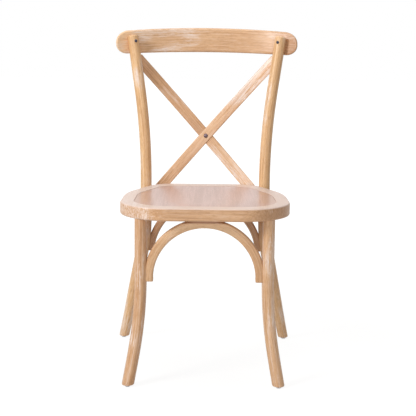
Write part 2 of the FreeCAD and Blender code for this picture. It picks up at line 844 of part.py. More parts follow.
def glides():
    """Domed floor glides and the nails that hold them."""
    pieces, nails = {}, []
    height, radius = size("glide_height"), size("glide_radius")
    nail, length = size("nail_radius"), size("nail_length")
    edge = size("glide_edge")
    rise = (radius ** 2 + edge ** 2) / (2 * edge)
    for leg, line in (("front", leg_line), ("rear", post_line)):
        for name, side in SIDES.items():
            foot = line(side)(0)
            disc = Part.makeCylinder(radius, height, foot)
            ball = Part.makeSphere(rise, foot + UP * rise)
            flat = Part.makeCylinder(size("glide_flat"), height, foot)
            start = foot + UP * size("nail_start")
            bore = hole(start + UP * length, UP, nail, length)
            dome = disc.common(ball.fuse(flat)).cut(bore)
            pieces["glide_%s_%s" % (leg, name)] = dome
            nails.append(Part.makeCylinder(nail, length, start))
            bar = "front_leg_" if leg == "front" else "back_post_"
            drill(bar + name, start + UP * length, UP, nail, length)
    return pieces, nails


# assembly of the pieces

def finished(label, base):
    """Cut a piece's drilled holes and keep it under its own name."""
    if label in holes:
        tool = shape_piece(label + "_holes", Part.makeCompound(holes[label]))
        base = cut(label + "_drilled", base, tool)
    return keep(base, label)


def post_blank(name, side):
    """Post with its top rounded and its rear side cut to the back surface."""
    solid = floor_trim(post_solid(side))
    top = size("post_top_height")
    ring = [e for e in solid.Edges if e.BoundBox.ZMax > top - SAME_PLACE and
            e.BoundBox.ZLength < size("post_radius")]
    solid = solid.makeFillet(size("post_top_round"), ring)
    blank = shape_piece("post_bar_" + name, solid)
    gap = size("fit_gap")
    offset = -size("slat_step") if side > 0 else 0
    slat_low = size("slat_top") - size("slat_notch")
    reach = size("back_y")
    for part, low, high, front in (("slat", slat_low, size("slat_top") + gap, offset),
                                   ("rail", size("slat_top") + gap, size("rail_top"), 0)):
        label = "post_%s_%s" % (part, name)
        zone = box(label + "_zone", V(-reach, 0, low), V(reach, 2 * reach, high))
        band = back_band(label + "_band", front - gap, size("rail_thickness") * 3)
        blank = cut(label + "_cut", blank, common(label + "_flat", zone, band))
    return blank


def leg_blank(name, side):
    """Front leg with the tenon that enters the seat rim."""
    leg = floor_trim(leg_solid(side))
    top = leg_line(side)(SEAT_BOTTOM)
    tenon = Part.makeCylinder(size("tenon_radius"), size("tenon_length"), top)
    holes.setdefault("seat_rim_" + name, []).append(
        Part.makeCylinder(size("tenon_radius") + size("hole_gap"),
                          size("tenon_length") + size("fit_gap"), top))
    return shape_piece("leg_bar_" + name, leg.fuse(tenon).removeSplitter())


def arch_blank(name):
    """Arch in its place, its ends hollowed to fit the round legs."""
    spec = ARCHES[name]
    body = arch("arch_" + name + "_bent", spec["radius"], spec["thickness"], spec["contact"])
    body.Placement = arch_matrix(spec)
    if name == "rear":
        low = V(-FAR, -FAR, arch_end_height(spec))
        body = common("arch_rear_sawn", body, box("arch_rear_room", low, V(FAR, FAR, FAR)))
    gap = size("fit_gap")
    sides = [SIDES[name]] if name in SIDES else [-1, 1]
    bars = []
    for side in sides:
        if name != "rear":
            bars.append(leg_solid(side, gap))
        if name != "front":
            bars.append(post_solid(side, gap))
    tool = shape_piece("arch_%s_legs" % name, Part.makeCompound(bars))
    return cut("arch_%s_coped" % name, body, tool)


def fitted_rim(name, piece):
    """Side of the rim, hollowed for its post and flattened for the slat's foot."""
    side = SIDES[name]
    gap = size("fit_gap")
    post = shape_piece("rim_%s_post" % name, post_solid(side, gap))
    piece = cut("rim_%s_hollow" % name, piece, post)
    offset = -size("slat_step") if side < 0 else 0
    low = V(min(side * slat_foot_limit(), 0), 0, 0)
    high = V(max(side * slat_foot_limit(), 0), FAR, FAR)
    zone = box("foot_zone_" + name, low, high)
    band = back_band("foot_band_" + name, offset - gap, size("rail_thickness") * 3)
    return cut("rim_%s_flat" % name, piece, common("foot_flat_" + name, zone, band))


def build():
    place_arches()
    legs = {name: leg_blank(name, side) for name, side in SIDES.items()}
    posts = {name: post_blank(name, side) for name, side in SIDES.items()}
    rim = rim_pieces(rim_blank())
    for name in SIDES:
        rim[name] = fitted_rim(name, rim[name])
    step, lap, thickness = size("slat_step"), size("slat_lap"), size("slat_thickness")
    slats = {
        "cross_slat_front": slat("slat_front", 1, -step, lap, 3 * thickness),
        "cross_slat_rear": slat("slat_rear", -1, 0, -3 * thickness, lap + size("fit_gap"))}
    groups = {"rail_screws": rail_screws(),
              "slat_head_screws": slat_screws(True),
              "slat_foot_screws": slat_screws(False),
              "rim_dowels": rim_dowels()}
    groups["crossing_bolt"], groups["crossing_cap_nut"] = crossing_fasteners()
    groups["seat_bolts"], groups["seat_bolt_washers"], groups["seat_bolt_nuts"] = seat_bolts()
    groups["arch_leg_screws"], groups["arch_seat_screws"] = arch_screws()
    glide_pieces, groups["glide_nails"] = glides()
    for name, piece in rim.items():
        finished("seat_rim_" + name, piece)
    finished("seat_panel", seat_panel())
    for name in SIDES:
        finished("front_leg_" + name, legs[name])
        finished("back_post_" + name, posts[name])
    finished("crest_rail", crest_rail())
    for label, piece in slats.items():
        finished(label, piece)
    for name in ARCHES:
        finished("arch_" + name, arch_blank(name))
    for label, shapes in groups.items():
        keep(shape_piece(label, Part.makeCompound(shapes)), label)
    for label, shape in glide_pieces.items():
        keep(shape_piece(label, shape), label)


def centre_on_floor():
    """Move all pieces so that the origin lies under the middle of the chair."""
    bounds = FreeCAD.BoundBox()
    for node in nodes:
        bounds.add(node.Shape.optimalBoundingBox())
    shift = V(0, -(bounds.YMin + bounds.YMax) / 2, -bounds.ZMin)
    for node in nodes:
        node.Placement.Base = node.Placement.Base + shift
    return shift


def check():
    """Stop if any feature failed or any piece has no valid shape."""
    for feature in doc.Objects:
        if "Invalid" in feature.State or "Error" in feature.State:
            raise RuntimeError("%s failed" % feature.Label)
    for node in nodes:
        if not node.Shape.Solids or not node.Shape.isValid():
            raise RuntimeError("%s has no valid solid" % node.Label)


def write():
    os.makedirs("parts", exist_ok=True)
    for node in nodes:
        node.Shape.exportStep("parts/%s.step" % node.Label)


build()
doc.recompute()
check()
print("moved by", centre_on_floor())
write()
for node in nodes:
    print(node.Label, len(node.Shape.Solids), round(node.Shape.Volume))
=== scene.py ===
"""A cross back dining chair of pale limed oak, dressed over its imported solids."""

import logging
import math
from dataclasses import dataclass, field
from enum import Enum
from typing import Any, Callable, Sequence

import bmesh
import bpy
import numpy as np
from mathutils import Matrix, Vector


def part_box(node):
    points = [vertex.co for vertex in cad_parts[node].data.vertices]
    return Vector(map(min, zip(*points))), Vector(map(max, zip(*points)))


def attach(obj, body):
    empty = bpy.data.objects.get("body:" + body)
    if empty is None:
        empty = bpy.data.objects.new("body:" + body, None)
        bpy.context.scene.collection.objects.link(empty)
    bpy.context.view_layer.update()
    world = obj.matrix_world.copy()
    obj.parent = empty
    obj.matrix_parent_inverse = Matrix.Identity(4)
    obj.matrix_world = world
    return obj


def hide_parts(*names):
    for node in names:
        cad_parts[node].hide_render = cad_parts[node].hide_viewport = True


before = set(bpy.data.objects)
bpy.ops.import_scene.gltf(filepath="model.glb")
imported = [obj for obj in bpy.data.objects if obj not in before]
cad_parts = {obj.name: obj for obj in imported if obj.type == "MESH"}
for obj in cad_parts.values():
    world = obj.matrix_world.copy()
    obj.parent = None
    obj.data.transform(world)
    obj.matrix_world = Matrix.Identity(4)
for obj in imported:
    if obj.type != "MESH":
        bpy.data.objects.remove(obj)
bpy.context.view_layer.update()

LOG = logging.getLogger("cross_back_chair")
BODY = "root"

Piece = bpy.types.Object
Material = bpy.types.Material
Place = Sequence[float]
Tone = tuple[int, int, int]

# Points within TOUCH of each other are one point, fitted pieces leave a gap of FIT, and two
# directions whose cosine is past ALIKE count as the same.
MM = 0.001
TOUCH = 0.01 * MM
FIT = 0.2 * MM
ALIKE = 0.9

# The slats end at SLAT_TOP, just below the rail. The one in front starts SLAT_STEP before
# the other.
SEAT_HEIGHT = 455 * MM
RIM_THICKNESS = 32 * MM
SEAT_BOTTOM = SEAT_HEIGHT - RIM_THICKNESS
SLAT_TOP = 814.5 * MM
SLAT_STEP = 2 * MM

# Depths are counted as in the drawing of the chair. The frame is centred on the whole depth,
# so each of them moves by SHIFT_Y, which follows from where a front foot stands in both.
FOOT_Y = -204 * MM
LEG_Y = -165 * MM
SHIFT_Y = sum(corner.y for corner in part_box("glide_front_right")) / 2 - FOOT_Y

# Each piece is cut from a numbered board, whose grain lies that many shifts further on.
GRAIN = "grain"
BOARD_SHIFT = (0.37, 0.11, 0.53)


class Side(Enum):
    """Which side of the chair a piece stands on, seen from the front."""

    LEFT = -1
    RIGHT = 1

    @property
    def word(self) -> str:
        """The side's name, as the solids use it."""
        return self.name.lower()


# Shader wiring


class Wire:
    """A shader socket that takes part in sums written as Python."""

    def __init__(self, board: "Board", socket: bpy.types.NodeSocket | None) -> None:
        """Hold the socket and the board that it is on."""
        self.board, self.socket = board, socket

    def _sum(self, operation: str, *terms: Any) -> "Wire":
        """One Math node."""
        return self.board.node("ShaderNodeMath", {"operation": operation},
                               dict(enumerate(terms)))

    def __add__(self, other: Any) -> "Wire":
        """self + other."""
        return self._sum("ADD", self, other)

    def __radd__(self, other: Any) -> "Wire":
        """other + self."""
        return self._sum("ADD", other, self)

    def __sub__(self, other: Any) -> "Wire":
        """self - other."""
        return self._sum("SUBTRACT", self, other)

    def __rsub__(self, other: Any) -> "Wire":
        """other - self."""
        return self._sum("SUBTRACT", other, self)

    def __mul__(self, other: Any) -> "Wire":
        """self * other."""
        return self._sum("MULTIPLY", self, other)

    def __rmul__(self, other: Any) -> "Wire":
        """other * self."""
        return self._sum("MULTIPLY", other, self)

    def __abs__(self) -> "Wire":
        """self without its sign."""
        return self._sum("ABSOLUTE", self)


class Board:
    """The node board of a material or of the world, filled from Python."""

    def __init__(self, owner: Material | bpy.types.World) -> None:
        """Empty a board.

        Args:
            owner: the material or the world that it belongs to.
        """
        self.owner = owner
        owner.use_nodes = True
        self.tree = owner.node_tree
        self.tree.nodes.clear()

    @classmethod
    def new(cls, name: str) -> "Board":
        """The empty board of a new material."""
        return cls(bpy.data.materials.new(name))

    def node(self, kind: str, settings: dict[str, Any], values: dict[Any, Any],
             out: int | str = 0) -> Wire:
        """Add a node.

        Args:
            kind: the node's type name.
            settings: its own settings, set first.
            values: what goes to its sockets, numbers, colours or wires.
            out: which of its outputs is wanted.

        Returns:
            The wire of that output, which is empty on a node that has none.
        """
        made = self.tree.nodes.new(kind)
        for name, value in settings.items():
            setattr(made, name, value)
        for key, value in values.items():
            if isinstance(value, Wire):
                self.tree.links.new(value.socket, made.inputs[key])
            else:
                made.inputs[key].default_value = value
        return Wire(self, made.outputs[out] if made.outputs else None)

    def here(self) -> Wire:
        """The place on the piece, in metres of the frame."""
        return self.node("ShaderNodeTexCoord", {}, {}, "Object")

    def along(self, axis: str) -> Wire:
        """How far a place lies along an axis."""
        return self.node("ShaderNodeSeparateXYZ", {}, {"Vector": self.here()}, axis)

    def mapped(self, place: Wire, **changes: Place) -> Wire:
        """A place after a Mapping node's Location, Rotation or Scale."""
        return self.node("ShaderNodeMapping", {}, {"Vector": place, **changes})

    def rise(self, value: Wire, low: float, high: float) -> Wire:
        """Smooth step of a value from 0 at low to 1 at high."""
        return self.node("ShaderNodeMapRange", {"interpolation_type": "SMOOTHSTEP"},
                         {"Value": value, "From Min": low, "From Max": high})

    def mix(self, share: Any, first: Any, second: Any) -> Wire:
        """Mix two colours by a share; 6, 7 and output 2 are the node's colour sockets."""
        return self.node("ShaderNodeMix", {"data_type": "RGBA"},
                         {0: share, 6: first, 7: second}, 2)

    def relief(self, height: Wire, strength: float, depth: float) -> Wire:
        """The surface's normal with a fine relief."""
        return self.node("ShaderNodeBump", {},
                         {"Strength": strength, "Distance": depth, "Height": height})

    def end(self, shader: Wire, output: str = "ShaderNodeOutputMaterial") -> None:
        """Wire a shader to the owner's surface."""
        self.node(output, {}, {"Surface": shader})

    def finish(self, **sockets: Any) -> Material:
        """End in a Principled shader.

        Args:
            sockets: what goes to its sockets, named with underscores for spaces.

        Returns:
            The finished material.
        """
        values = {name.replace("_", " "): value for name, value in sockets.items()}
        self.end(self.node("ShaderNodeBsdfPrincipled", {}, values))
        return self.owner


def linear(value: int) -> float:
    """One channel as it is seen, from 0 to 255, made linear by the sRGB curve."""
    share = value / 255
    return share / 12.92 if share <= 0.04045 else ((share + 0.055) / 1.055) ** 2.4


def tone(red: int, green: int, blue: int) -> tuple[float, float, float, float]:
    """A colour as it is seen, made linear."""
    return linear(red), linear(green), linear(blue), 1.0


def weigh(shares: Sequence[float], *values: Any) -> Any:
    """The sum of the values, each times its share."""
    terms = [value * share for value, share in zip(values, shares)]
    return sum(terms[1:], terms[0])


# Finishes


class GrainFrom(Enum):
    """Where oak takes its straight place from: stored, or turned by degrees and stretched."""

    BENT = "attribute"
    ALONG_X = ((0, 90, 0), (1.0, 1.0, 1.0))
    ALONG_Y = ((90, 0, 0), (1.7, 0.4, 1.0))


@dataclass(frozen=True)
class Figure:
    """A noise in a surface: its marks to the metre along each axis, and how it is drawn."""

    scale: tuple[float, float, float]
    detail: float = 3
    rough: float = 0.5
    distortion: float = 0.0
    shift: tuple[float, float, float] = (0, 0, 0)

    def at(self, board: Board, place: Wire) -> Wire:
        """The noise at a place, 0.5 on average."""
        spot = board.mapped(place, Scale=self.scale, Location=self.shift)
        return board.node("ShaderNodeTexNoise", {},
                          {"Vector": spot, "Scale": 1, "Detail": self.detail,
                           "Roughness": self.rough, "Distortion": self.distortion}, "Fac")


@dataclass(frozen=True)
class Mark:
    """How a value shows as a mark: not at all at start, with its whole strength at full."""

    start: float
    full: float
    strength: float = 1.0

    def on(self, board: Board, value: Wire) -> Wire:
        """The mark's share at a place."""
        return board.rise(value, self.start, self.full) * self.strength


@dataclass(frozen=True)
class Drift:
    """A slow change along one axis of the frame, from nothing at start to amount at end."""

    axis: str
    start: float
    end: float
    amount: float
    ebb: tuple[float, float] | None = None

    def at(self, board: Board) -> Wire:
        """The change at a place, gone again past its ebb.

        Args:
            board: the node board.

        Returns:
            The change.
        """
        reach = board.along(self.axis)
        change = board.rise(reach, self.start, self.end) * self.amount
        if self.ebb:
            change = change * (1 - board.rise(reach, *self.ebb))
        return change


@dataclass(frozen=True)
class OakTone:
    """The colours of one board, and how much lime its grain holds, from 0 to 1.

    Combed lime lies in thin straight lines all along the board. Paler drifts turn it towards
    the pale tone, and painted_shade drifts lay painted shade in the line tone where less light
    falls.
    """

    light: Tone
    dark: Tone
    limed: float
    line: Tone = (160, 108, 70)
    lime: Tone = (238, 224, 216)
    pale: Tone = (246, 208, 164)
    combed: float = 0.0
    more_lime: Drift | None = None
    paler: Drift | None = None
    painted_shade: tuple[Drift, ...] = ()


OAKS = {
    "legs": OakTone((214, 170, 127), (190, 142, 99), 0.24, combed=0.18,
                    more_lime=Drift("X", 0.0, 0.16, 0.18), paler=Drift("X", 0.0, 0.16, 0.24)),
    # Posts: a band of painted shade just under the seat rim, where the seat keeps the light off.
    "posts": OakTone((232, 190, 140), (210, 164, 114), 0.28,
                     more_lime=Drift("Z", 0.38, 0.20, 0.16),
                     painted_shade=(Drift("Z", 0.290, 0.335, 0.5, (0.400, 0.445)),)),
    # Arches: painted light on their upper part, painted shade on the arches further back, and a
    # painted shadow of the seat rim along their tops.
    "arches": OakTone((222, 180, 136), (198, 152, 109), 0.25,
                      paler=Drift("Z", 0.36, 0.42, 0.75),
                      painted_shade=(Drift("Y", -0.21, -0.12, 0.45),
                              Drift("Z", 0.4095, 0.4145, 0.95))),
    # Rail: painted light on its left end and painted shade on its right end.
    "rail": OakTone((220, 178, 136), (200, 156, 114), 0.34,
                    more_lime=Drift("X", -0.14, -0.24, 0.25),
                    paler=Drift("X", -0.14, -0.24, 0.75),
                    painted_shade=(Drift("X", 0.16, 0.25, 0.5),)),
    "slat_front": OakTone((230, 188, 148), (206, 160, 118), 0.3,
                          more_lime=Drift("Z", 0.60, 0.72, 0.5)),
    "slat_rear": OakTone((216, 172, 130), (192, 146, 106), 0.18,
                         more_lime=Drift("Z", 0.60, 0.48, 0.62),
                         paler=Drift("Z", 0.62, 0.50, 0.6)),
}
# Rim: painted shade on its right corner.
RIM_OAK = OakTone((218, 174, 132), (194, 148, 106), 0.25,
                  more_lime=Drift("X", -0.07, -0.16, 0.36),
                  painted_shade=(Drift("X", 0.10, 0.19, 0.35),))


@dataclass(frozen=True)
class LimedOak:
    """Oak with white lime rubbed into its grain, under a satin lacquer.

    The shares of the shade go to rings, fine lines and drift, and those of the relief to
    pores, fine lines and flecks. Lines and spots take their lime by shares of the patches
    and of the lime in the grain.
    """

    name: str
    tones: OakTone
    drift: Figure = Figure((16, 16, 7), 2, 0.6)
    rings: Figure = Figure((210, 210, 3.2), 2, 0.6, 0.2)
    fine: Figure = Figure((520, 520, 10), 3, 0.62, 0.1)
    flecks: Figure = Figure((340, 340, 60), 3, 0.65, shift=(3, 5, 7))
    pores: Figure = Figure((1500, 1500, 80), 1)
    shade: Mark = Mark(0.38, 0.60)
    late_wood: Mark = Mark(0.45, 0.36, 0.32)
    patches: Mark = Mark(0.64, 0.80)
    lime_lines: Mark = Mark(0.53, 0.62)
    lime_wash: Mark = Mark(0.42, 0.58, 0.45)
    lime_spots: Mark = Mark(0.54, 0.63)
    dark_dots: Mark = Mark(0.45, 0.37, 0.28)
    open_pores: Mark = Mark(0.38, 0.30, 0.25)
    shade_shares: tuple[float, ...] = (0.35, 0.3, 0.35)
    relief_shares: tuple[float, ...] = (0.4, 0.4, 0.2)
    line_shares: tuple[float, ...] = (0.55, 0.35)
    spot_shares: tuple[float, ...] = (0.5, 0.3)
    patch_share: float = 0.4
    roughness: float = 0.40
    rougher: float = 0.2

    @staticmethod
    def place(board: Board, source: GrainFrom) -> Wire:
        """The place in the straight board, with its third axis along the grain.

        Args:
            board: the node board.
            source: where the place comes from.

        Returns:
            The place.
        """
        if source is GrainFrom.BENT:
            return board.node("ShaderNodeAttribute", {"attribute_name": GRAIN}, {}, "Vector")
        angles, stretch = source.value
        turn = tuple(math.radians(angle) for angle in angles)
        return board.mapped(board.mapped(board.here(), Rotation=turn), Scale=stretch)

    def limed(self, board: Board) -> float | Wire:
        """How much lime the grain holds at a place."""
        more, least = self.tones.more_lime, self.tones.limed
        return more.at(board) + least if more else least

    def grain(self, board: Board, place: Wire) -> tuple[Wire, Wire]:
        """Colour and height of the grain at a place.

        Args:
            board: the node board.
            place: the place in the straight board.

        Returns:
            The colour and the height.
        """
        tones, limed = self.tones, self.limed(board)
        drift, rings, fine, flecks, pores = (
            figure.at(board, place)
            for figure in (self.drift, self.rings, self.fine, self.flecks, self.pores))
        shade = self.shade.on(board, weigh(self.shade_shares, rings, fine, drift))
        patch = self.patches.on(board, drift + limed * self.patch_share)
        lines = self.lime_lines.on(board, fine)
        spots = self.lime_spots.on(board, flecks)
        layers = [(tones.paler.at(board), tones.pale)] if tones.paler else []
        # Painted shade: each painted_shade drift darkens the board towards the line tone.
        layers += [(painted_shade.at(board), tones.line) for painted_shade in tones.painted_shade]
        layers += [
            (self.late_wood.on(board, fine), tones.line),
            (lines * (weigh(self.line_shares, patch, limed) + tones.combed), tones.lime),
            (self.lime_wash.on(board, rings) * patch, tones.lime),
            (spots * weigh(self.spot_shares, patch, limed), tones.lime),
            (self.dark_dots.on(board, flecks), tones.line),
            (self.open_pores.on(board, pores), tones.line)]
        wood = board.mix(shade, tone(*tones.dark), tone(*tones.light))
        for share, colour in layers:
            wood = board.mix(share, wood, tone(*colour))
        return wood, weigh(self.relief_shares, pores, fine, flecks)

    def lacquer(self, board: Board, colour: Wire, height: Wire) -> Material:
        """Lay the satin lacquer over a colour and its relief."""
        return board.finish(Base_Color=colour, Roughness=self.roughness + height * self.rougher,
                            Specular_IOR_Level=0.35, Coat_Weight=0.3, Coat_Roughness=0.24,
                            Normal=board.relief(height, strength=0.15, depth=0.5 * MM))

    def make(self) -> Material:
        """Wire the finish."""
        board = Board.new(self.name)
        return self.lacquer(board, *self.grain(board, self.place(board, GrainFrom.BENT)))


@dataclass(frozen=True)
class RimOak(LimedOak):
    """Oak of the seat rim: grain runs across its rails and turns to the back at its corners.

    Its lacquered top is painted paler, partly as a lime wipe and partly as painted light and
    sheen from above, which fades out over the rounded edge.
    """

    turn: Mark = Mark(126 * MM, 146 * MM)
    wipe_and_top_light: Mark = Mark(SEAT_HEIGHT - 4 * MM, SEAT_HEIGHT - 0.5 * MM, 0.7)
    wiped_and_lit: Tone = (224, 206, 198)

    def make(self) -> Material:
        """Wire the finish.

        Returns:
            The material.
        """
        board = Board.new(self.name)
        across, rise = self.grain(board, self.place(board, GrainFrom.ALONG_X))
        back, deep = self.grain(board, self.place(board, GrainFrom.ALONG_Y))
        turned = self.turn.on(board, abs(board.along("X")))
        colour = board.mix(turned, across, back)
        # Painted light: the top is paler, partly a lime wipe and partly painted light and sheen
        # from above.
        wiped_and_lit = self.wipe_and_top_light.on(board, board.along("Z"))
        colour = board.mix(wiped_and_lit, colour, tone(*self.wiped_and_lit))
        return self.lacquer(board, colour, rise * (1 - turned) + deep * turned)


@dataclass(frozen=True)
class SeatVeneer:
    """Pale pinkish veneer of the seat panel, its grain from front to back.

    The shares of the shade go to bands and lines, and those of the relief to lines and pores.
    Towards the panel's sides the veneer turns to the edge's tone, along a border that the
    cloud makes uneven.
    """

    name: str = "seat_veneer"
    light: Tone = (204, 169, 158)
    dark: Tone = (182, 145, 131)
    speck: Tone = (240, 226, 218)
    edge: Tone = (186, 144, 112)
    bands: Figure = Figure((26, 1.6, 26), 3, 0.6, 0.2)
    lines: Figure = Figure((330, 7, 330), 4, 0.6, 0.1)
    pores: Figure = Figure((1300, 50, 1300), 2)
    cloud: Figure = Figure((16, 34, 16), 3, 0.6)
    shade: Mark = Mark(0.38, 0.62)
    specks: Mark = Mark(0.58, 0.68, 0.35)
    border: Mark = Mark(160 * MM, 225 * MM, 0.55)
    shade_shares: tuple[float, ...] = (0.55, 0.45)
    relief_shares: tuple[float, ...] = (0.5, 0.5)
    cloud_reach: float = 90 * MM
    roughness: float = 0.30
    rougher: float = 0.14

    def make(self) -> Material:
        """Wire the finish.

        Returns:
            The material.
        """
        board = Board.new(self.name)
        bands, lines, pores, cloud = (
            figure.at(board, board.here())
            for figure in (self.bands, self.lines, self.pores, self.cloud))
        shade = self.shade.on(board, weigh(self.shade_shares, bands, lines))
        wood = board.mix(shade, tone(*self.dark), tone(*self.light))
        wood = board.mix(self.specks.on(board, pores), wood, tone(*self.speck))
        border = self.border.on(board, abs(board.along("X")) + cloud * self.cloud_reach)
        wood = board.mix(border, wood, tone(*self.edge))
        relief = board.relief(weigh(self.relief_shares, lines, pores), strength=0.1,
                              depth=0.4 * MM)
        return board.finish(Base_Color=wood, Roughness=self.roughness + lines * self.rougher,
                            Normal=relief, Coat_Weight=0.3, Coat_Roughness=0.18)


@dataclass(frozen=True)
class PlainMetal:
    """Metal with fine wear marks."""

    name: str
    colour: Tone
    roughness: float
    metallic: float
    wear: Figure = Figure((900, 900, 900), 3)
    worn: Mark = Mark(0.4, 0.75, 0.35)
    lighter: int = 40
    rougher: float = 0.12

    def make(self) -> Material:
        """Wire the finish.

        Returns:
            The material.
        """
        board = Board.new(self.name)
        wear = self.wear.at(board, board.here())
        bright = tone(*[min(channel + self.lighter, 255) for channel in self.colour])
        colour = board.mix(self.worn.on(board, wear), tone(*self.colour), bright)
        return board.finish(Base_Color=colour, Roughness=self.roughness + wear * self.rougher,
                            Metallic=self.metallic)


@dataclass(frozen=True)
class GlidePlastic:
    """Pale moulded plastic of the floor glides."""

    name: str = "glide_plastic"
    dark: Tone = (224, 220, 226)
    light: Tone = (240, 238, 242)
    scuffs: Figure = Figure((700, 700, 700), 4)
    roughness: float = 0.5
    rougher: float = 0.15

    def make(self) -> Material:
        """Wire the finish.

        Returns:
            The material.
        """
        board = Board.new(self.name)
        scuff = self.scuffs.at(board, board.here())
        colour = board.mix(scuff, tone(*self.dark), tone(*self.light))
        return board.finish(Base_Color=colour, Roughness=self.roughness + scuff * self.rougher)


# The bench


class Part(Enum):
    """What is selected in an open mesh: Blender's mode for it, and its list in bmesh."""

    POINTS = ("VERT", "verts")
    EDGES = ("EDGE", "edges")
    FACES = ("FACE", "faces")


class Volume(Enum):
    """What a tool's volume does to a piece."""

    CUT = "DIFFERENCE"
    JOIN = "UNION"


class Bench:
    """Where one piece at a time is modelled with Blender's own operators."""

    @staticmethod
    def clear() -> None:
        """Leave edit mode and deselect everything."""
        if bpy.context.object and bpy.context.object.mode != "OBJECT":
            bpy.ops.object.mode_set(mode="OBJECT")
        bpy.ops.object.select_all(action="DESELECT")

    @classmethod
    def take(cls, *pieces: Piece) -> None:
        """Select some pieces alone.

        Args:
            pieces: the pieces; the first becomes the active one.
        """
        cls.clear()
        for piece in pieces:
            piece.select_set(True)
        bpy.context.view_layer.objects.active = pieces[0]

    @staticmethod
    def settle(name: str) -> Piece:
        """Name the active object and bring its place into its mesh.

        Args:
            name: its name.

        Returns:
            The piece.
        """
        made = bpy.context.object
        made.name = name
        made.data.name = name
        bpy.ops.object.transform_apply(location=True, rotation=True, scale=True)
        return made

    @classmethod
    def slab(cls, name: str, middle: Place, sides: Place, turn: Place = (0, 0, 0)) -> Piece:
        """A slab about its middle.

        Args:
            name: its name.
            middle: its middle.
            sides: its lengths along X, Y and Z.
            turn: the angles that it is turned by.

        Returns:
            The slab.
        """
        cls.clear()
        bpy.ops.mesh.primitive_cube_add(size=1, location=middle, rotation=turn, scale=sides)
        return cls.settle(name)

    @classmethod
    def block(cls, name: str, low: Place, high: Place) -> Piece:
        """A block between two corners."""
        middle = [(a + b) / 2 for a, b in zip(low, high)]
        return cls.slab(name, middle, [b - a for a, b in zip(low, high)])

    @classmethod
    def rod(cls, name: str, radius: float, length: float, middle: Place,
            turn: Place = (0, 0, 0), sides: int = 40) -> Piece:
        """A round rod about its middle.

        Args:
            name: its name.
            radius: its radius.
            length: its length.
            middle: its middle.
            turn: the angles that it is turned by from upright.
            sides: how many flats make its round.

        Returns:
            The rod.
        """
        cls.clear()
        bpy.ops.mesh.primitive_cylinder_add(vertices=sides, radius=radius, depth=length,
                                            location=middle, rotation=turn)
        return cls.settle(name)

    @classmethod
    def edit(cls, piece: Piece, part: Part, action: str = "DESELECT") -> None:
        """Open a piece in edit mode.

        Args:
            piece: the piece.
            part: what is selected in it.
            action: DESELECT to start with nothing selected, SELECT with all of it.
        """
        cls.take(piece)
        bpy.ops.object.mode_set(mode="EDIT")
        bpy.ops.mesh.select_mode(type=part.value[0])
        bpy.ops.mesh.select_all(action=action)

    @staticmethod
    def pick(part: Part, test: Callable[[Any], bool]) -> int:
        """Select what passes a test in the open mesh.

        Args:
            part: what is selected.
            test: the test.

        Returns:
            How many were selected.
        """
        mesh = bpy.context.object.data
        work = bmesh.from_edit_mesh(mesh)
        found = [element for element in getattr(work, part.value[1]) if test(element)]
        for element in found:
            element.select_set(True)
        work.select_flush_mode()
        bmesh.update_edit_mesh(mesh)
        return len(found)

    @classmethod
    def bevel(cls, piece: Piece, test: Callable[[Any], bool], width: float,
              segments: int = 4) -> None:
        """Round the edges that pass a test.

        Args:
            piece: the piece.
            test: the test of an edge.
            width: the rounding's width.
            segments: how many flats it has.
        """
        cls.edit(piece, Part.EDGES)
        if cls.pick(Part.EDGES, test):
            bpy.ops.mesh.bevel(offset=width, offset_type="OFFSET", segments=segments,
                               affect="EDGES", profile=0.5)
        cls.clear()

    @classmethod
    def slice(cls, piece: Piece, axis: int, places: Sequence[float]) -> None:
        """Cut a piece across an axis at each place, so that it can bend there.

        Args:
            piece: the piece.
            axis: 0, 1 or 2 for X, Y or Z.
            places: where it is cut.
        """
        cls.edit(piece, Part.EDGES)
        normal = [0.0, 0.0, 0.0]
        normal[axis] = 1.0
        for place in places:
            bpy.ops.mesh.select_all(action="SELECT")
            bpy.ops.mesh.bisect(plane_co=[place * n for n in normal], plane_no=normal)
        cls.clear()

    @classmethod
    def trim(cls, piece: Piece, place: Place, outward: Place) -> None:
        """Saw a piece off at a plane and close the cut.

        Args:
            piece: the piece.
            place: a point of the plane.
            outward: the way from the plane to what is sawn off.
        """
        cls.edit(piece, Part.EDGES, "SELECT")
        bpy.ops.mesh.bisect(plane_co=place, plane_no=outward, use_fill=True, clear_outer=True)
        cls.clear()

    @classmethod
    def combine(cls, piece: Piece, tool: Piece, volume: Volume, keep_tool: bool = False) -> None:
        """Cut a tool's volume out of a piece, or join it on.

        Args:
            piece: the piece.
            tool: the tool.
            volume: what its volume does.
            keep_tool: whether the tool stays afterwards.
        """
        cls.take(piece)
        change = piece.modifiers.new("volume", "BOOLEAN")
        change.object, change.operation, change.solver = tool, volume.value, "EXACT"
        bpy.ops.object.modifier_apply(modifier=change.name)
        if not keep_tool:
            bpy.data.objects.remove(tool)

    @classmethod
    def smooth(cls, piece: Piece, limit: float = math.radians(35)) -> None:
        """Shade smooth across edges that turn by less than a limit."""
        cls.take(piece)
        bpy.ops.object.shade_smooth_by_angle(angle=limit)

    @classmethod
    def outward(cls, piece: Piece) -> None:
        """Merge doubled points and turn every face outward.

        Args:
            piece: the piece.
        """
        cls.edit(piece, Part.POINTS, "SELECT")
        bpy.ops.mesh.remove_doubles(threshold=TOUCH)
        bpy.ops.mesh.normals_make_consistent(inside=False)
        cls.clear()


def level_with(edge: bmesh.types.BMEdge, height: float) -> bool:
    """Whether an edge lies at a height."""
    return all(abs(vert.co.z - height) < TOUCH for vert in edge.verts)


def run_of(edge: bmesh.types.BMEdge) -> Vector:
    """An edge from its one end to its other."""
    return edge.verts[0].co - edge.verts[1].co


def spaced(step: float, count: int) -> list[float]:
    """Places a step apart, so many on either side of the middle, and the middle itself."""
    return [step * i for i in range(-count, count + 1)]


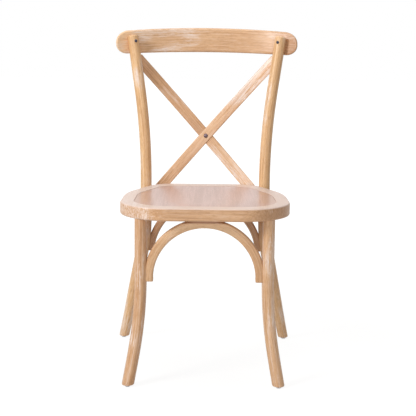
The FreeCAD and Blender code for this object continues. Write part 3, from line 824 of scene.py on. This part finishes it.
def turned(flat: np.ndarray, angle: float) -> np.ndarray:
    """Rows of X and Y, turned about the upright axis."""
    x, y, cosine, sine = flat[:, 0], flat[:, 1], math.cos(angle), math.sin(angle)
    return np.column_stack([x * cosine - y * sine, x * sine + y * cosine])


def points_of(piece: Piece) -> np.ndarray:
    """A mesh's points.

    Args:
        piece: the piece.

    Returns:
        The points as rows.
    """
    flat = np.zeros(len(piece.data.vertices) * 3)
    piece.data.vertices.foreach_get("co", flat)
    return flat.reshape(-1, 3)


def move_points(piece: Piece, places: np.ndarray) -> None:
    """Give a mesh's points new places."""
    piece.data.vertices.foreach_set("co", places.astype(np.float32).ravel())
    piece.data.update()


def note_grain(piece: Piece, straight: np.ndarray, number: int) -> None:
    """Store each point's place in the straight board.

    Args:
        piece: the piece.
        straight: its points in the straight board.
        number: which board it is cut from; no two have the same grain.
    """
    stored = piece.data.attributes
    layer = stored.get(GRAIN) or stored.new(GRAIN, "FLOAT_VECTOR", "POINT")
    moved = straight + np.array(BOARD_SHIFT) * number
    layer.data.foreach_set("vector", moved.astype(np.float32).ravel())


def hand_over(piece: Piece, material: Material, slot: str, *nodes: str) -> None:
    """Finish a piece.

    Args:
        piece: the piece.
        material: its material.
        slot: not used.
        nodes: the solids that it stands for.
    """
    piece.data.materials.clear()
    piece.data.materials.append(material)
    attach(piece, BODY)
    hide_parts(*nodes)
    LOG.info("%s: %d faces", piece.name, len(piece.data.polygons))


# Bent shapes


@dataclass(frozen=True)
class BentLine:
    """Centre line of a bent bar, as corners (height, x, y) eased over a reach at each bend."""

    corners: tuple[tuple[float, float, float], ...]
    reaches: tuple[float, ...]

    def slopes(self) -> list[np.ndarray]:
        """Sideways travel per height along each straight run."""
        rows = [np.array(corner, float) for corner in self.corners]
        return [(b[1:] - a[1:]) / (b[0] - a[0]) for a, b in zip(rows, rows[1:])]

    def at(self, heights: np.ndarray) -> np.ndarray:
        """Points of the line.

        Args:
            heights: their heights.

        Returns:
            The points as rows.
        """
        slopes = self.slopes()
        start = self.corners[0]
        flat = np.array(start[1:]) + (heights - start[0])[:, None] * slopes[0]
        for i, reach in enumerate(self.reaches):
            over = heights - self.corners[i + 1][0]
            eased = np.clip(over + reach, 0, 2 * reach) ** 2 / (4 * reach)
            eased = eased + np.clip(over - reach, 0, None)
            flat = flat + eased[:, None] * (slopes[i + 1] - slopes[i])
        return np.column_stack([flat, heights])

    def axes(self, heights: np.ndarray) -> tuple[np.ndarray, np.ndarray, np.ndarray]:
        """The line's direction and two directions across it.

        Args:
            heights: where they are wanted.

        Returns:
            The three directions as rows.
        """
        slopes = self.slopes()
        flat = np.tile(slopes[0], (len(heights), 1))
        for i, reach in enumerate(self.reaches):
            share = np.clip((heights - self.corners[i + 1][0] + reach) / (2 * reach), 0, 1)
            flat = flat + share[:, None] * (slopes[i + 1] - slopes[i])
        along = np.column_stack([flat, np.ones(len(heights))])
        along /= np.linalg.norm(along, axis=1)[:, None]
        across = np.array([1.0, 0, 0]) - along * along[:, :1]
        across /= np.linalg.norm(across, axis=1)[:, None]
        return along, across, np.cross(along, across)

    def bend(self, straight: np.ndarray) -> np.ndarray:
        """Lay an upright straight bar along the line.

        Args:
            straight: the bar's points as rows.

        Returns:
            The points of the bent bar.
        """
        heights = straight[:, 2]
        _, across, aside = self.axes(heights)
        return self.at(heights) + straight[:, :1] * across + straight[:, 1:2] * aside

    def unbend(self, bent: np.ndarray, rounds: int = 4) -> np.ndarray:
        """Where a bent bar's points were in the straight bar.

        Args:
            bent: the points as rows.
            rounds: how often the guess of their heights is bettered.

        Returns:
            The points of the straight bar.
        """
        heights = bent[:, 2].copy()
        for _ in range(rounds):
            along, across, aside = self.axes(heights)
            off = bent - self.at(heights)
            heights = heights + (off * along).sum(1) * along[:, 2]
        return np.column_stack([(off * across).sum(1), (off * aside).sum(1), heights])


@dataclass(frozen=True)
class BackJig:
    """The curved, leaning surface that the crest rail and the slats are bent to."""

    radius: float = 430 * MM
    lean: float = math.radians(10)
    depth: float = 310 * MM + SHIFT_Y
    height: float = 855 * MM

    def leaning(self, heights: np.ndarray) -> np.ndarray:
        """Depth of the surface's middle line."""
        return self.depth + math.tan(self.lean) * (heights - self.height)

    def bend(self, flat: np.ndarray) -> np.ndarray:
        """Bend flat work, drawn as seen from the front with its depth along Y.

        Args:
            flat: its points as rows.

        Returns:
            The points of the bent work.
        """
        reach = np.sqrt((self.radius + flat[:, 1]) ** 2 - flat[:, 0] ** 2)
        depth = self.leaning(flat[:, 2]) - (self.radius - reach) / math.cos(self.lean)
        return np.column_stack([flat[:, 0], depth, flat[:, 2]])

    def unbend(self, bent: np.ndarray) -> np.ndarray:
        """Where the points of bent work were when it was flat.

        Args:
            bent: the points as rows.

        Returns:
            The points of the flat work.
        """
        reach = self.radius + (bent[:, 1] - self.leaning(bent[:, 2])) * math.cos(self.lean)
        depth = np.hypot(reach, bent[:, 0]) - self.radius
        return np.column_stack([bent[:, 0], depth, bent[:, 2]])


# Sub-assemblies


@dataclass
class RoundBar:
    """A steam bent round bar: a front leg, or a rear leg and post in one.

    Radii are given at heights, and a tenon by its radius and length. The bar is turned with
    spare length below, and its foot is sawn level at a height that leaves room for the glide.
    Rings are cut all along it so that it can bend, but none within foot_clear of its foot.
    """

    name: str
    number: int
    line: BentLine
    radii: tuple[tuple[float, float], ...]
    top: float
    rings: int
    top_round: float = 0.0
    tenon: tuple[float, float] | None = None
    spare: float = 20 * MM
    foot: float = 5 * MM
    foot_round: float = 2.5 * MM
    foot_clear: float = 9 * MM
    piece: Piece | None = None

    def radius_at(self, heights: np.ndarray) -> np.ndarray:
        """The bar's radius, eased between its given heights.

        Args:
            heights: where it is wanted.

        Returns:
            The radii.
        """
        radius = np.full(len(heights), self.radii[0][1])
        for (low, first), (high, second) in zip(self.radii, self.radii[1:]):
            share = np.clip((heights - low) / (high - low), 0, 1)
            radius = radius + (second - first) * share * share * (3 - 2 * share)
        return radius

    def at(self, height: float) -> tuple[np.ndarray, float]:
        """The bar's centre and radius at a height."""
        heights = np.array([height])
        return self.line.at(heights)[0], self.radius_at(heights)[0]

    def build(self) -> None:
        """Turn the straight bar, bend it and saw its foot level."""
        unit = self.radii[-1][1]
        bar = Bench.rod(self.name, unit, self.top + self.spare,
                        (0, 0, (self.top - self.spare) / 2))
        if self.top_round:
            Bench.bevel(bar, lambda e: all(v.co.z > self.top - MM for v in e.verts),
                        self.top_round, segments=6)
        if self.tenon:
            self.cut_tenon(bar, unit)
        step = (self.top - self.top_round + self.spare) / self.rings
        heights = [step * i - self.spare for i in range(1, self.rings)]
        Bench.slice(bar, 2, [h for h in heights if abs(h - self.foot) > self.foot_clear])
        straight = points_of(bar)
        swell = self.radius_at(np.clip(straight[:, 2], None, self.top)) / unit
        straight[:, :2] *= swell[:, None]
        move_points(bar, self.line.bend(straight))
        Bench.trim(bar, (0, 0, self.foot), (0, 0, -1))
        Bench.bevel(bar, lambda e: level_with(e, self.foot), self.foot_round)
        self.piece = bar

    def cut_tenon(self, bar: Piece, radius: float) -> None:
        """Turn a tenon on the bar's top.

        Args:
            bar: the bar.
            radius: the bar's radius.
        """
        width, length = self.tenon
        Bench.edit(bar, Part.FACES)
        Bench.pick(Part.FACES, lambda face: face.normal.z > ALIKE)
        bpy.ops.mesh.inset(thickness=radius - width)
        bpy.ops.mesh.extrude_region_move(TRANSFORM_OT_translate={"value": (0, 0, length)})
        Bench.clear()

    def dress(self, material: Material) -> None:
        """Store the grain and hand the bar over.

        Args:
            material: the bar's material.
        """
        note_grain(self.piece, self.line.unbend(points_of(self.piece)), self.number)
        Bench.smooth(self.piece)
        hand_over(self.piece, material, "limed_wood", self.name)


@dataclass
class Legs:
    """The four bent bars that carry the chair: front legs, and posts down to the floor.

    Corners are those of the right side, as (height, x, depth), and bends say how far each
    corner between two runs is eased. The posts are cut back for rooms in which the crest
    rail and the ends of the slats sit.
    """

    jig: BackJig
    bars: dict[str, RoundBar] = field(default_factory=dict)
    leg_corners: tuple[tuple[float, float, float], ...] = (
        (0, 190.3 * MM, FOOT_Y), (171 * MM, 159.8 * MM, LEG_Y), (SEAT_HEIGHT, 159.8 * MM, LEG_Y))
    leg_bends: tuple[float, ...] = (100 * MM,)
    leg_radii: tuple[tuple[float, float], ...] = ((0, 15.4 * MM),)
    tenon: tuple[float, float] = (11 * MM, 20 * MM)
    post_corners: tuple[tuple[float, float, float], ...] = (
        (0, 231.9 * MM, 247 * MM), (315 * MM, 165.7 * MM, 181 * MM),
        (590 * MM, 165.7 * MM, 212 * MM), (868 * MM, 206.4 * MM, 245 * MM))
    post_bends: tuple[float, ...] = (85 * MM, 130 * MM)
    post_radii: tuple[tuple[float, float], ...] = (
        (0, 14.2 * MM), (300 * MM, 18.6 * MM), (440 * MM, 15.4 * MM))
    post_round: float = 5 * MM
    notch: float = 54 * MM
    room_reach: float = 300 * MM
    room_depth: float = 80 * MM
    room_top: float = 900 * MM
    room_step: float = 10 * MM
    room_bends: int = 29

    @staticmethod
    def line(side: Side, corners: Sequence[Place], bends: tuple[float, ...]) -> BentLine:
        """A bar's centre line, on its own side."""
        return BentLine(tuple((height, side.value * x, depth + SHIFT_Y)
                              for height, x, depth in corners), bends)

    def leg(self, side: Side) -> RoundBar:
        """A front leg."""
        return RoundBar("front_leg_" + side.word, number=18 + side.value,
                        line=self.line(side, self.leg_corners, self.leg_bends),
                        radii=self.leg_radii, top=SEAT_BOTTOM, rings=60, tenon=self.tenon)

    def post(self, side: Side) -> RoundBar:
        """A rear leg and post."""
        return RoundBar("back_post_" + side.word, number=4 + side.value,
                        line=self.line(side, self.post_corners, self.post_bends),
                        radii=self.post_radii, top=self.post_corners[-1][0], rings=110,
                        top_round=self.post_round)

    def seat_of(self, side: Side) -> Piece:
        """The volume of the rail and of the slat's end, which the post is cut back for.

        Args:
            side: the post's side.

        Returns:
            The volume.
        """
        offset = -SLAT_STEP if side is Side.RIGHT else 0.0
        reach, depth = self.room_reach, self.room_depth
        slat = Bench.block("slat_room", (-reach, offset - FIT, SLAT_TOP - self.notch),
                           (reach, depth, SLAT_TOP + FIT))
        rail = Bench.block("rail_room", (-reach, -FIT, SLAT_TOP), (reach, depth, self.room_top))
        for room in (slat, rail):
            Bench.slice(room, 0, spaced(self.room_step, self.room_bends))
            move_points(room, self.jig.bend(points_of(room)))
        Bench.combine(slat, rail, Volume.JOIN)
        return slat

    def build(self) -> None:
        """Make the legs and posts."""
        for side in Side:
            leg, post = self.leg(side), self.post(side)
            for bar in (leg, post):
                self.bars[bar.name] = bar
                bar.build()
            Bench.combine(post.piece, self.seat_of(side), Volume.CUT)

    def dress(self, legs: Material, posts: Material) -> None:
        """Finish the legs and posts."""
        for name, bar in self.bars.items():
            bar.dress(posts if name.startswith("back") else legs)


@dataclass
class Back:
    """The crest rail and the two crossed slats."""

    jig: BackJig
    rail_half: float = 252 * MM
    rail_top: float = 889.69 * MM
    rail_bottom: float = 821.9 * MM
    top_drop: float = 11 * MM
    bottom_drop: float = 6 * MM
    rail_thickness: float = 21.8 * MM
    end_radius: float = 31 * MM
    edge_radius: float = 6 * MM
    level_step: float = 8 * MM
    levels: int = 7
    bend_step: float = 7 * MM
    rail_bends: int = 35
    slat_bends: int = 30
    slat_width: float = 29.4 * MM
    slat_thickness: float = 10 * MM
    slat_edge: float = 2.2 * MM
    slat_top_x: float = 201.6 * MM
    slat_foot_x: float = 141.5 * MM
    slat_foot: float = 429 * MM
    foot_limit: float = 149.3 * MM
    top_limit: float = 213.5 * MM
    strip_length: float = 620 * MM
    lap: float = 4 * MM
    lap_room: float = 30 * MM

    @property
    def slope(self) -> float:
        """Sideways run of a slat for its rise."""
        return (self.slat_top_x + self.slat_foot_x) / (SLAT_TOP - self.slat_foot)

    @property
    def crossing(self) -> float:
        """Height at which the slats cross."""
        return self.slat_foot + self.slat_foot_x / self.slope

    def crown(self, flat: np.ndarray, way: int = 1) -> np.ndarray:
        """Drop the rail's ends.

        Args:
            flat: the rail's points as rows.
            way: 1 to drop the ends, -1 to lift them again.

        Returns:
            The points with their new heights.
        """
        out = flat.copy()
        share = (flat[:, 0] / self.rail_half) ** 2
        span = self.rail_top - self.rail_bottom
        if way > 0:
            level = (flat[:, 2] - self.rail_bottom) / span
        else:
            level = (flat[:, 2] - self.rail_bottom + self.bottom_drop * share) / (
                span - (self.top_drop - self.bottom_drop) * share)
        drop = (self.bottom_drop + (self.top_drop - self.bottom_drop) * level) * share
        out[:, 2] = flat[:, 2] - way * drop
        return out

    def rail(self, material: Material) -> None:
        """The bowed crest rail.

        Args:
            material: its material.
        """
        rail = Bench.block("crest_rail", (-self.rail_half, 0, self.rail_bottom),
                           (self.rail_half, self.rail_thickness, self.rail_top))
        Bench.bevel(rail, lambda e: abs(run_of(e).y) > MM, self.end_radius, segments=14)
        Bench.bevel(rail, lambda e: abs(run_of(e).y) < MM / 10, self.edge_radius, segments=6)
        Bench.slice(rail, 0, spaced(self.bend_step, self.rail_bends))
        Bench.slice(rail, 2, [self.rail_bottom + self.level_step * (i + 1)
                              for i in range(self.levels)])
        move_points(rail, self.jig.bend(self.crown(points_of(rail))))
        flat = self.crown(self.jig.unbend(points_of(rail)), -1)
        note_grain(rail, flat[:, [1, 2, 0]], number=7)
        Bench.smooth(rail)
        hand_over(rail, material, "limed_wood", "crest_rail")

    def strip(self, name: str, side: Side, front: float, rear: float, width: float) -> Piece:
        """A flat strip through the crossing, from one depth to another, its top on a side."""
        return Bench.slab(name, (0, (front + rear) / 2, self.crossing),
                          (width, rear - front, self.strip_length),
                          (0, side.value * math.atan(self.slope), 0))

    def slat(self, name: str, side: Side, offset: float, lap: tuple[float, float],
             number: int, material: Material) -> None:
        """One slat, halved at the crossing.

        Args:
            name: the slat's name.
            side: where its top stands.
            offset: depth of its front face on the jig.
            lap: from what depth to what depth the other slat takes its room.
            number: which board it is cut from.
            material: its material.
        """
        slat = self.strip(name, side, offset, offset + self.slat_thickness, self.slat_width)
        along = Vector((side.value * self.slope, 0, 1)).normalized()
        Bench.bevel(slat, lambda e: abs(run_of(e).normalized().dot(along)) > ALIKE,
                    self.slat_edge)
        tool = self.strip("lap_room", Side(-side.value), *lap, self.slat_width + 2 * FIT)
        Bench.combine(slat, tool, Volume.CUT)
        Bench.trim(slat, (0, 0, SLAT_TOP), (0, 0, 1))
        Bench.trim(slat, (0, 0, self.slat_foot), (0, 0, -1))
        Bench.trim(slat, (-side.value * self.foot_limit, 0, 0), (-side.value, 0, 0))
        Bench.trim(slat, (side.value * self.top_limit, 0, 0), (side.value, 0, 0))
        Bench.slice(slat, 0, spaced(self.bend_step, self.slat_bends))
        flat = points_of(slat)
        move_points(slat, self.jig.bend(flat))
        across = Vector((along.z, 0, -along.x))
        straight = np.column_stack([flat @ np.array(across), flat[:, 1], flat @ np.array(along)])
        note_grain(slat, straight, number)
        Bench.smooth(slat)
        hand_over(slat, material, "limed_wood", name)

    def build(self, rail: Material, front: Material, rear: Material) -> None:
        """Make the rail and the slats.

        Args:
            rail: the rail's material.
            front: the material of the slat in front.
            rear: the material of the slat behind.
        """
        self.rail(rail)
        self.slat("cross_slat_front", Side.RIGHT, offset=-SLAT_STEP,
                  lap=(self.lap, self.lap_room), number=8, material=front)
        self.slat("cross_slat_rear", Side.LEFT, offset=0.0,
                  lap=(-self.lap_room, self.lap + FIT), number=9, material=rear)


@dataclass
class Arch:
    """A bent brace under the seat, from one leg to the next.

    It is made across the chair's middle, with its outer face widened towards the springing
    line where reach is more than its radius, and then turned about the upright and moved to
    its place. Its tails go down past the springing line, unless it is sawn off above that.
    """

    name: str
    number: int
    radius: float
    thickness: float
    reach: float
    place: Vector
    turn: float
    legs: tuple[str, ...]
    sawn_above: float | None = None
    depth: float = 18 * MM
    tail: float = 8 * MM
    steps: int = 50
    sharp: float = 1.0
    edge_radius: float = 5 * MM
    end_sharp: float = 0.5
    end_radius: float = MM
    plug_radius: float = 4 * MM
    plug_length: float = 5 * MM
    plug_proud: float = 0.3 * MM
    plug_edge: float = 0.2 * MM
    plug_sides: int = 24

    @property
    def centre(self) -> float:
        """Height of the springing line."""
        return SEAT_BOTTOM - self.radius

    def plug(self, spot: Vector, inward: Vector) -> Piece:
        """A turned oak plug over a sunk screw, almost flush with the inner face.

        Args:
            spot: where its axis meets the inner face, before the arch is turned.
            inward: the way that the face looks there.

        Returns:
            The plug.
        """
        spin = Matrix.Rotation(self.turn, 3, "Z")
        way = spin @ inward
        middle = spin @ spot + self.place + way * (self.plug_proud - self.plug_length / 2)
        plug = Bench.rod("plug", self.plug_radius, self.plug_length, middle,
                         way.to_track_quat("Z", "Y").to_euler(), self.plug_sides)
        face = middle + way * self.plug_length / 2
        Bench.bevel(plug, lambda e: all(abs((v.co - face).dot(way)) < TOUCH for v in e.verts),
                    self.plug_edge, segments=2)
        note_grain(plug, points_of(plug), self.number)
        Bench.smooth(plug)
        return plug

    def plugs(self) -> tuple[list[Piece], Piece]:
        """Plugs over the screws.

        Returns:
            The two at the arch's ends, and the one under the seat rim.
        """
        inner = self.radius - self.thickness
        rise = 0.0 if self.sawn_above is None else self.sawn_above + self.tail
        level = math.sqrt(inner ** 2 - rise ** 2)
        ends = [self.plug(Vector((end * level, 0, self.centre + rise)),
                          Vector((-end * level, 0, -rise)).normalized()) for end in (-1, 1)]
        return ends, self.plug(Vector((0, 0, self.centre + inner)), Vector((0, 0, -1)))

    def spin(self) -> Piece:
        """Spin the arch from its section, from tail to tail.

        Returns:
            The arch, with square edges.
        """
        foot = (self.radius - self.thickness / 2, 0, self.centre - self.tail)
        Bench.clear()
        bpy.ops.mesh.primitive_plane_add(size=1, location=foot)
        arch = Bench.settle(self.name)
        Bench.edit(arch, Part.FACES, "SELECT")
        bpy.ops.transform.resize(value=(self.thickness, self.depth, 1), orient_type="GLOBAL",
                                 center_override=foot)
        bpy.ops.mesh.extrude_region_move(TRANSFORM_OT_translate={"value": (0, 0, self.tail)})
        bpy.ops.mesh.spin(steps=self.steps, angle=math.pi, center=(0, 0, self.centre),
                          axis=(0, 1, 0))
        bpy.ops.mesh.extrude_region_move(TRANSFORM_OT_translate={"value": (0, 0, -self.tail)})
        Bench.outward(arch)
        return arch

    def build(self, bars: dict[str, RoundBar], material: Material) -> None:
        """Shape the arch, cope its ends to the legs and finish it.

        Args:
            bars: the legs and posts by name.
            material: its material.
        """
        arch = self.spin()
        end = self.centre - self.tail
        Bench.bevel(arch, lambda e: len(e.link_faces) == 2 and e.calc_face_angle() > self.sharp
                    and any(v.co.z > end + MM for v in e.verts), self.edge_radius)
        if self.sawn_above is not None:
            end = self.centre + self.sawn_above
            Bench.trim(arch, (0, 0, end), (0, 0, -1))
        Bench.bevel(arch, lambda e: len(e.link_faces) == 2
                    and e.calc_face_angle() > self.end_sharp and level_with(e, end),
                    self.end_radius, segments=2)
        flat = points_of(arch)
        outer = np.hypot(flat[:, 0], np.clip(flat[:, 2] - self.centre, 0, None))
        share = np.clip((outer - self.radius + self.thickness) / self.thickness, 0, 1)
        flat[:, 0] *= 1 + (max(self.reach / self.radius, 1) - 1) * share
        flat[:, :2] = turned(flat, self.turn) + np.array(self.place.xy)
        move_points(arch, flat)
        for leg in self.legs:
            Bench.combine(arch, bars[leg].piece, Volume.CUT, keep_tool=True)
        note_grain(arch, self.straight(points_of(arch)), self.number)
        Bench.smooth(arch)
        hand_over(arch, material, "limed_wood", self.name)

    def straight(self, bent: np.ndarray) -> np.ndarray:
        """Where the arch's points were before it was bent.

        Args:
            bent: the points as rows.

        Returns:
            The points of the straight bar.
        """
        flat = turned(bent[:, :2] - np.array(self.place.xy), -self.turn)
        x, across = flat[:, 0], flat[:, 1]
        rise = bent[:, 2] - self.centre
        up, down = np.clip(rise, 0, None), np.clip(-rise, 0, None)
        mean = self.radius - self.thickness / 2
        along = mean * np.arctan2(up, x) + np.where(x > 0, 1, -1) * down
        return np.column_stack([np.hypot(x, up), across, along])


@dataclass
class Braces:
    """The four arched braces, with the plugs over their sunk screws.

    Each arch goes a little way into its legs before its ends are coped to them.
    """

    bars: dict[str, RoundBar]
    into_leg: float = 3 * MM
    front_radius: float = 152 * MM
    front_thickness: float = 23.5 * MM
    front_reach: float = 147 * MM
    rear_radius: float = 162 * MM
    rear_thickness: float = 20 * MM
    rear_depth: float = 195 * MM
    rear_sawn: float = 8 * MM
    side_radius: float = 164 * MM
    side_thickness: float = 22 * MM

    def build(self, material: Material) -> None:
        """Make each arch where its legs stand, and join the plugs of each kind.

        Args:
            material: the oak of arches and plugs.
        """
        ends, tops = [], []
        for arch in (self.front_arch(), self.rear_arch(), *map(self.side_arch, Side)):
            arch.build(self.bars, material)
            sides, top = arch.plugs()
            ends += sides
            tops.append(top)
        for name, plugs in (("arch_leg_screws", ends), ("arch_seat_screws", tops)):
            Bench.take(*plugs)
            bpy.ops.object.join()
            joined = Bench.settle(name.replace("screws", "plugs"))
            hand_over(joined, material, "limed_wood", name)

    def front_arch(self) -> Arch:
        """The arch between the front legs."""
        return Arch("arch_front", number=10, radius=self.front_radius,
                    thickness=self.front_thickness, reach=self.front_reach,
                    place=Vector((0, LEG_Y + SHIFT_Y, 0)), turn=0.0,
                    legs=("front_leg_left", "front_leg_right"))

    def rear_arch(self) -> Arch:
        """The arch between the posts, sawn off above its springing line."""
        centre, radius = self.bars["back_post_right"].at(SEAT_BOTTOM - self.rear_radius)
        return Arch("arch_rear", number=11, radius=self.rear_radius,
                    thickness=self.rear_thickness, reach=centre[0] - radius + self.into_leg,
                    place=Vector((0, self.rear_depth + SHIFT_Y, 0)), turn=0.0,
                    legs=("back_post_left", "back_post_right"), sawn_above=self.rear_sawn)

    def side_arch(self, side: Side) -> Arch:
        """The arch between the legs of one side.

        Args:
            side: the side.

        Returns:
            The arch.
        """
        leg, post = (self.bars[name + side.word] for name in ("front_leg_", "back_post_"))
        height = SEAT_BOTTOM - self.side_radius
        front, front_radius = leg.at(height)
        rear, rear_radius = post.at(height)
        span = (Vector(rear) - Vector(front)).xy
        reach = span.length - front_radius - rear_radius
        middle = Vector(front).xy + span.normalized() * (front_radius + reach / 2)
        return Arch("arch_" + side.word, number=13 + side.value, radius=self.side_radius,
                    thickness=self.side_thickness, reach=reach / 2 + self.into_leg,
                    place=middle.to_3d(), turn=math.atan2(span.y, span.x),
                    legs=(leg.name, post.name))


# Carried over solids


SOLIDS = (
    (RimOak("limed_oak_rim", RIM_OAK),
     ("seat_rim_front", "seat_rim_rear", "rim_dowels", "seat_rim_left", "seat_rim_right")),
    (SeatVeneer(), ("seat_panel",)),
    (PlainMetal("dark_steel", (62, 60, 72), roughness=0.28, metallic=0.85),
     ("rail_screws", "slat_head_screws", "slat_foot_screws", "seat_bolts")),
    (PlainMetal("dark_bronze", (104, 88, 92), roughness=0.26, metallic=0.9),
     ("crossing_bolt",)),
    (PlainMetal("zinc_steel", (170, 170, 172), roughness=0.3, metallic=1.0),
     ("crossing_cap_nut", "seat_bolt_washers", "seat_bolt_nuts", "glide_nails")),
    (GlidePlastic(),
     ("glide_front_left", "glide_front_right", "glide_rear_left", "glide_rear_right")),
)


def dress_solids(nodes: dict[str, Piece], names: Sequence[str], material: Material) -> None:
    """Give carried over solids a finish.

    Args:
        nodes: the solids by name.
        names: those that are dressed.
        material: their material.
    """
    for name in names:
        nodes[name].data.materials.clear()
        nodes[name].data.materials.append(material)
        LOG.info("%s: solid kept", name)


# The room


@dataclass(frozen=True)
class Lamp:
    """A square soft box that is aimed at a target."""

    name: str
    place: tuple[float, float, float]
    target: tuple[float, float, float]
    size: float
    power: float

    def hang(self) -> None:
        """Put the lamp in its place."""
        data = bpy.data.lights.new(self.name, "AREA")
        data.size, data.energy = self.size, self.power
        lamp = bpy.data.objects.new(self.name, data)
        bpy.context.scene.collection.objects.link(lamp)
        lamp.location = self.place
        aim = Vector(self.target) - Vector(self.place)
        lamp.rotation_euler = aim.to_track_quat("-Z", "Y").to_euler()


@dataclass
class Room:
    """Floor, light and camera.

    Near the chair the floor glows white by near_white and is lit for the rest, which keeps
    the shadow. Over the metres of fade it turns all white. The camera's shift is three of the
    photograph's 416 pixels.
    """

    camera_place: tuple[float, float, float] = (0.0, -2.9008, 0.9036)
    pitch: float = 0.1642
    roll: float = math.radians(0.62)
    focal: float = 96.56
    sensor: float = 36.0
    shift: float = 3 / 416
    ambient: float = 0.25
    air: Tone = (255, 252, 248)
    floor_size: float = 30.0
    floor_tone: Tone = (222, 220, 218)
    floor_glow: float = 1.12
    near_white: float = 0.82
    fade: Mark = Mark(0.5, 1.3, 0.18)
    white: tuple[float, float, float, float] = (1.0, 1.0, 1.0, 1.0)
    lamps: tuple[Lamp, ...] = (
        Lamp("key", (-2.5, -1.9, 2.3), (0, 0, 0.5), size=1.1, power=78),
        Lamp("fill", (0.1, -3.2, 0.8), (0, 0, 0.35), size=1.6, power=20),
        Lamp("top", (0, 0.3, 2.7), (0, 0, 0.4), size=2.0, power=29))

    def camera(self) -> None:
        """The camera at the photograph's angle."""
        data = bpy.data.cameras.new("camera")
        data.sensor_width, data.lens, data.shift_x = self.sensor, self.focal, self.shift
        eye = bpy.data.objects.new("camera", data)
        bpy.context.scene.collection.objects.link(eye)
        x, y, z = self.camera_place
        eye.location = (x, y + SHIFT_Y, z)
        look = Matrix.Rotation(math.pi / 2 - self.pitch, 3, "X")
        look = look @ Matrix.Rotation(self.roll, 3, "Z")
        eye.rotation_euler = look.to_euler()
        bpy.context.scene.camera = eye

    @staticmethod
    def seen(board: Board) -> Wire:
        """Which rays the camera sees straight, in a gloss or through glass.

        Args:
            board: the node board.

        Returns:
            1 for such rays and 0 for others.
        """
        camera, glossy, through = (
            board.node("ShaderNodeLightPath", {}, {}, "Is " + kind + " Ray")
            for kind in ("Camera", "Glossy", "Transmission"))
        return board.rise(camera + glossy + through, 0, 1)

    def floor(self) -> None:
        """A plain pale floor that shows white to the camera but keeps a soft shadow."""
        Bench.clear()
        bpy.ops.mesh.primitive_plane_add(size=self.floor_size, location=(0, 0, 0))
        ground = Bench.settle("floor")
        board = Board.new("floor_white")
        lit = board.node("ShaderNodeBsdfDiffuse", {}, {"Color": tone(*self.floor_tone)})
        glow = board.node("ShaderNodeEmission", {},
                          {"Color": self.white, "Strength": self.floor_glow})
        away = board.node("ShaderNodeVectorMath", {"operation": "LENGTH"}, {0: board.here()},
                          "Value")
        white = self.fade.on(board, away) + self.near_white
        board.end(board.node("ShaderNodeMixShader", {},
                             {0: self.seen(board) * white, 1: lit, 2: glow}))
        ground.data.materials.append(board.owner)

    def world(self) -> None:
        """Even soft light, and white behind the chair."""
        world = bpy.data.worlds.new("studio")
        bpy.context.scene.world = world
        board = Board(world)
        soft, white = (
            board.node("ShaderNodeBackground", {}, {"Color": colour, "Strength": strength})
            for colour, strength in ((tone(*self.air), self.ambient), (self.white, 1.0)))
        board.end(board.node("ShaderNodeMixShader", {},
                             {0: self.seen(board), 1: soft, 2: white}),
                  "ShaderNodeOutputWorld")

    def build(self) -> None:
        """Set up the whole room."""
        self.camera()
        self.floor()
        self.world()
        for lamp in self.lamps:
            lamp.hang()
        bpy.context.scene.view_settings.view_transform = "Standard"


def main() -> None:
    """Build and dress the chair, then the room."""
    logging.basicConfig(level=logging.INFO, format="%(message)s")
    Bench.clear()
    oak = {name: LimedOak("limed_oak_" + name, tones).make() for name, tones in OAKS.items()}
    jig = BackJig()
    legs = Legs(jig)
    legs.build()
    Braces(legs.bars).build(oak["arches"])
    legs.dress(oak["legs"], oak["posts"])
    Back(jig).build(oak["rail"], oak["slat_front"], oak["slat_rear"])
    for finish, names in SOLIDS:
        dress_solids(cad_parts, names, finish.make())
    Room().build()


if __name__ == "__main__":
    main()
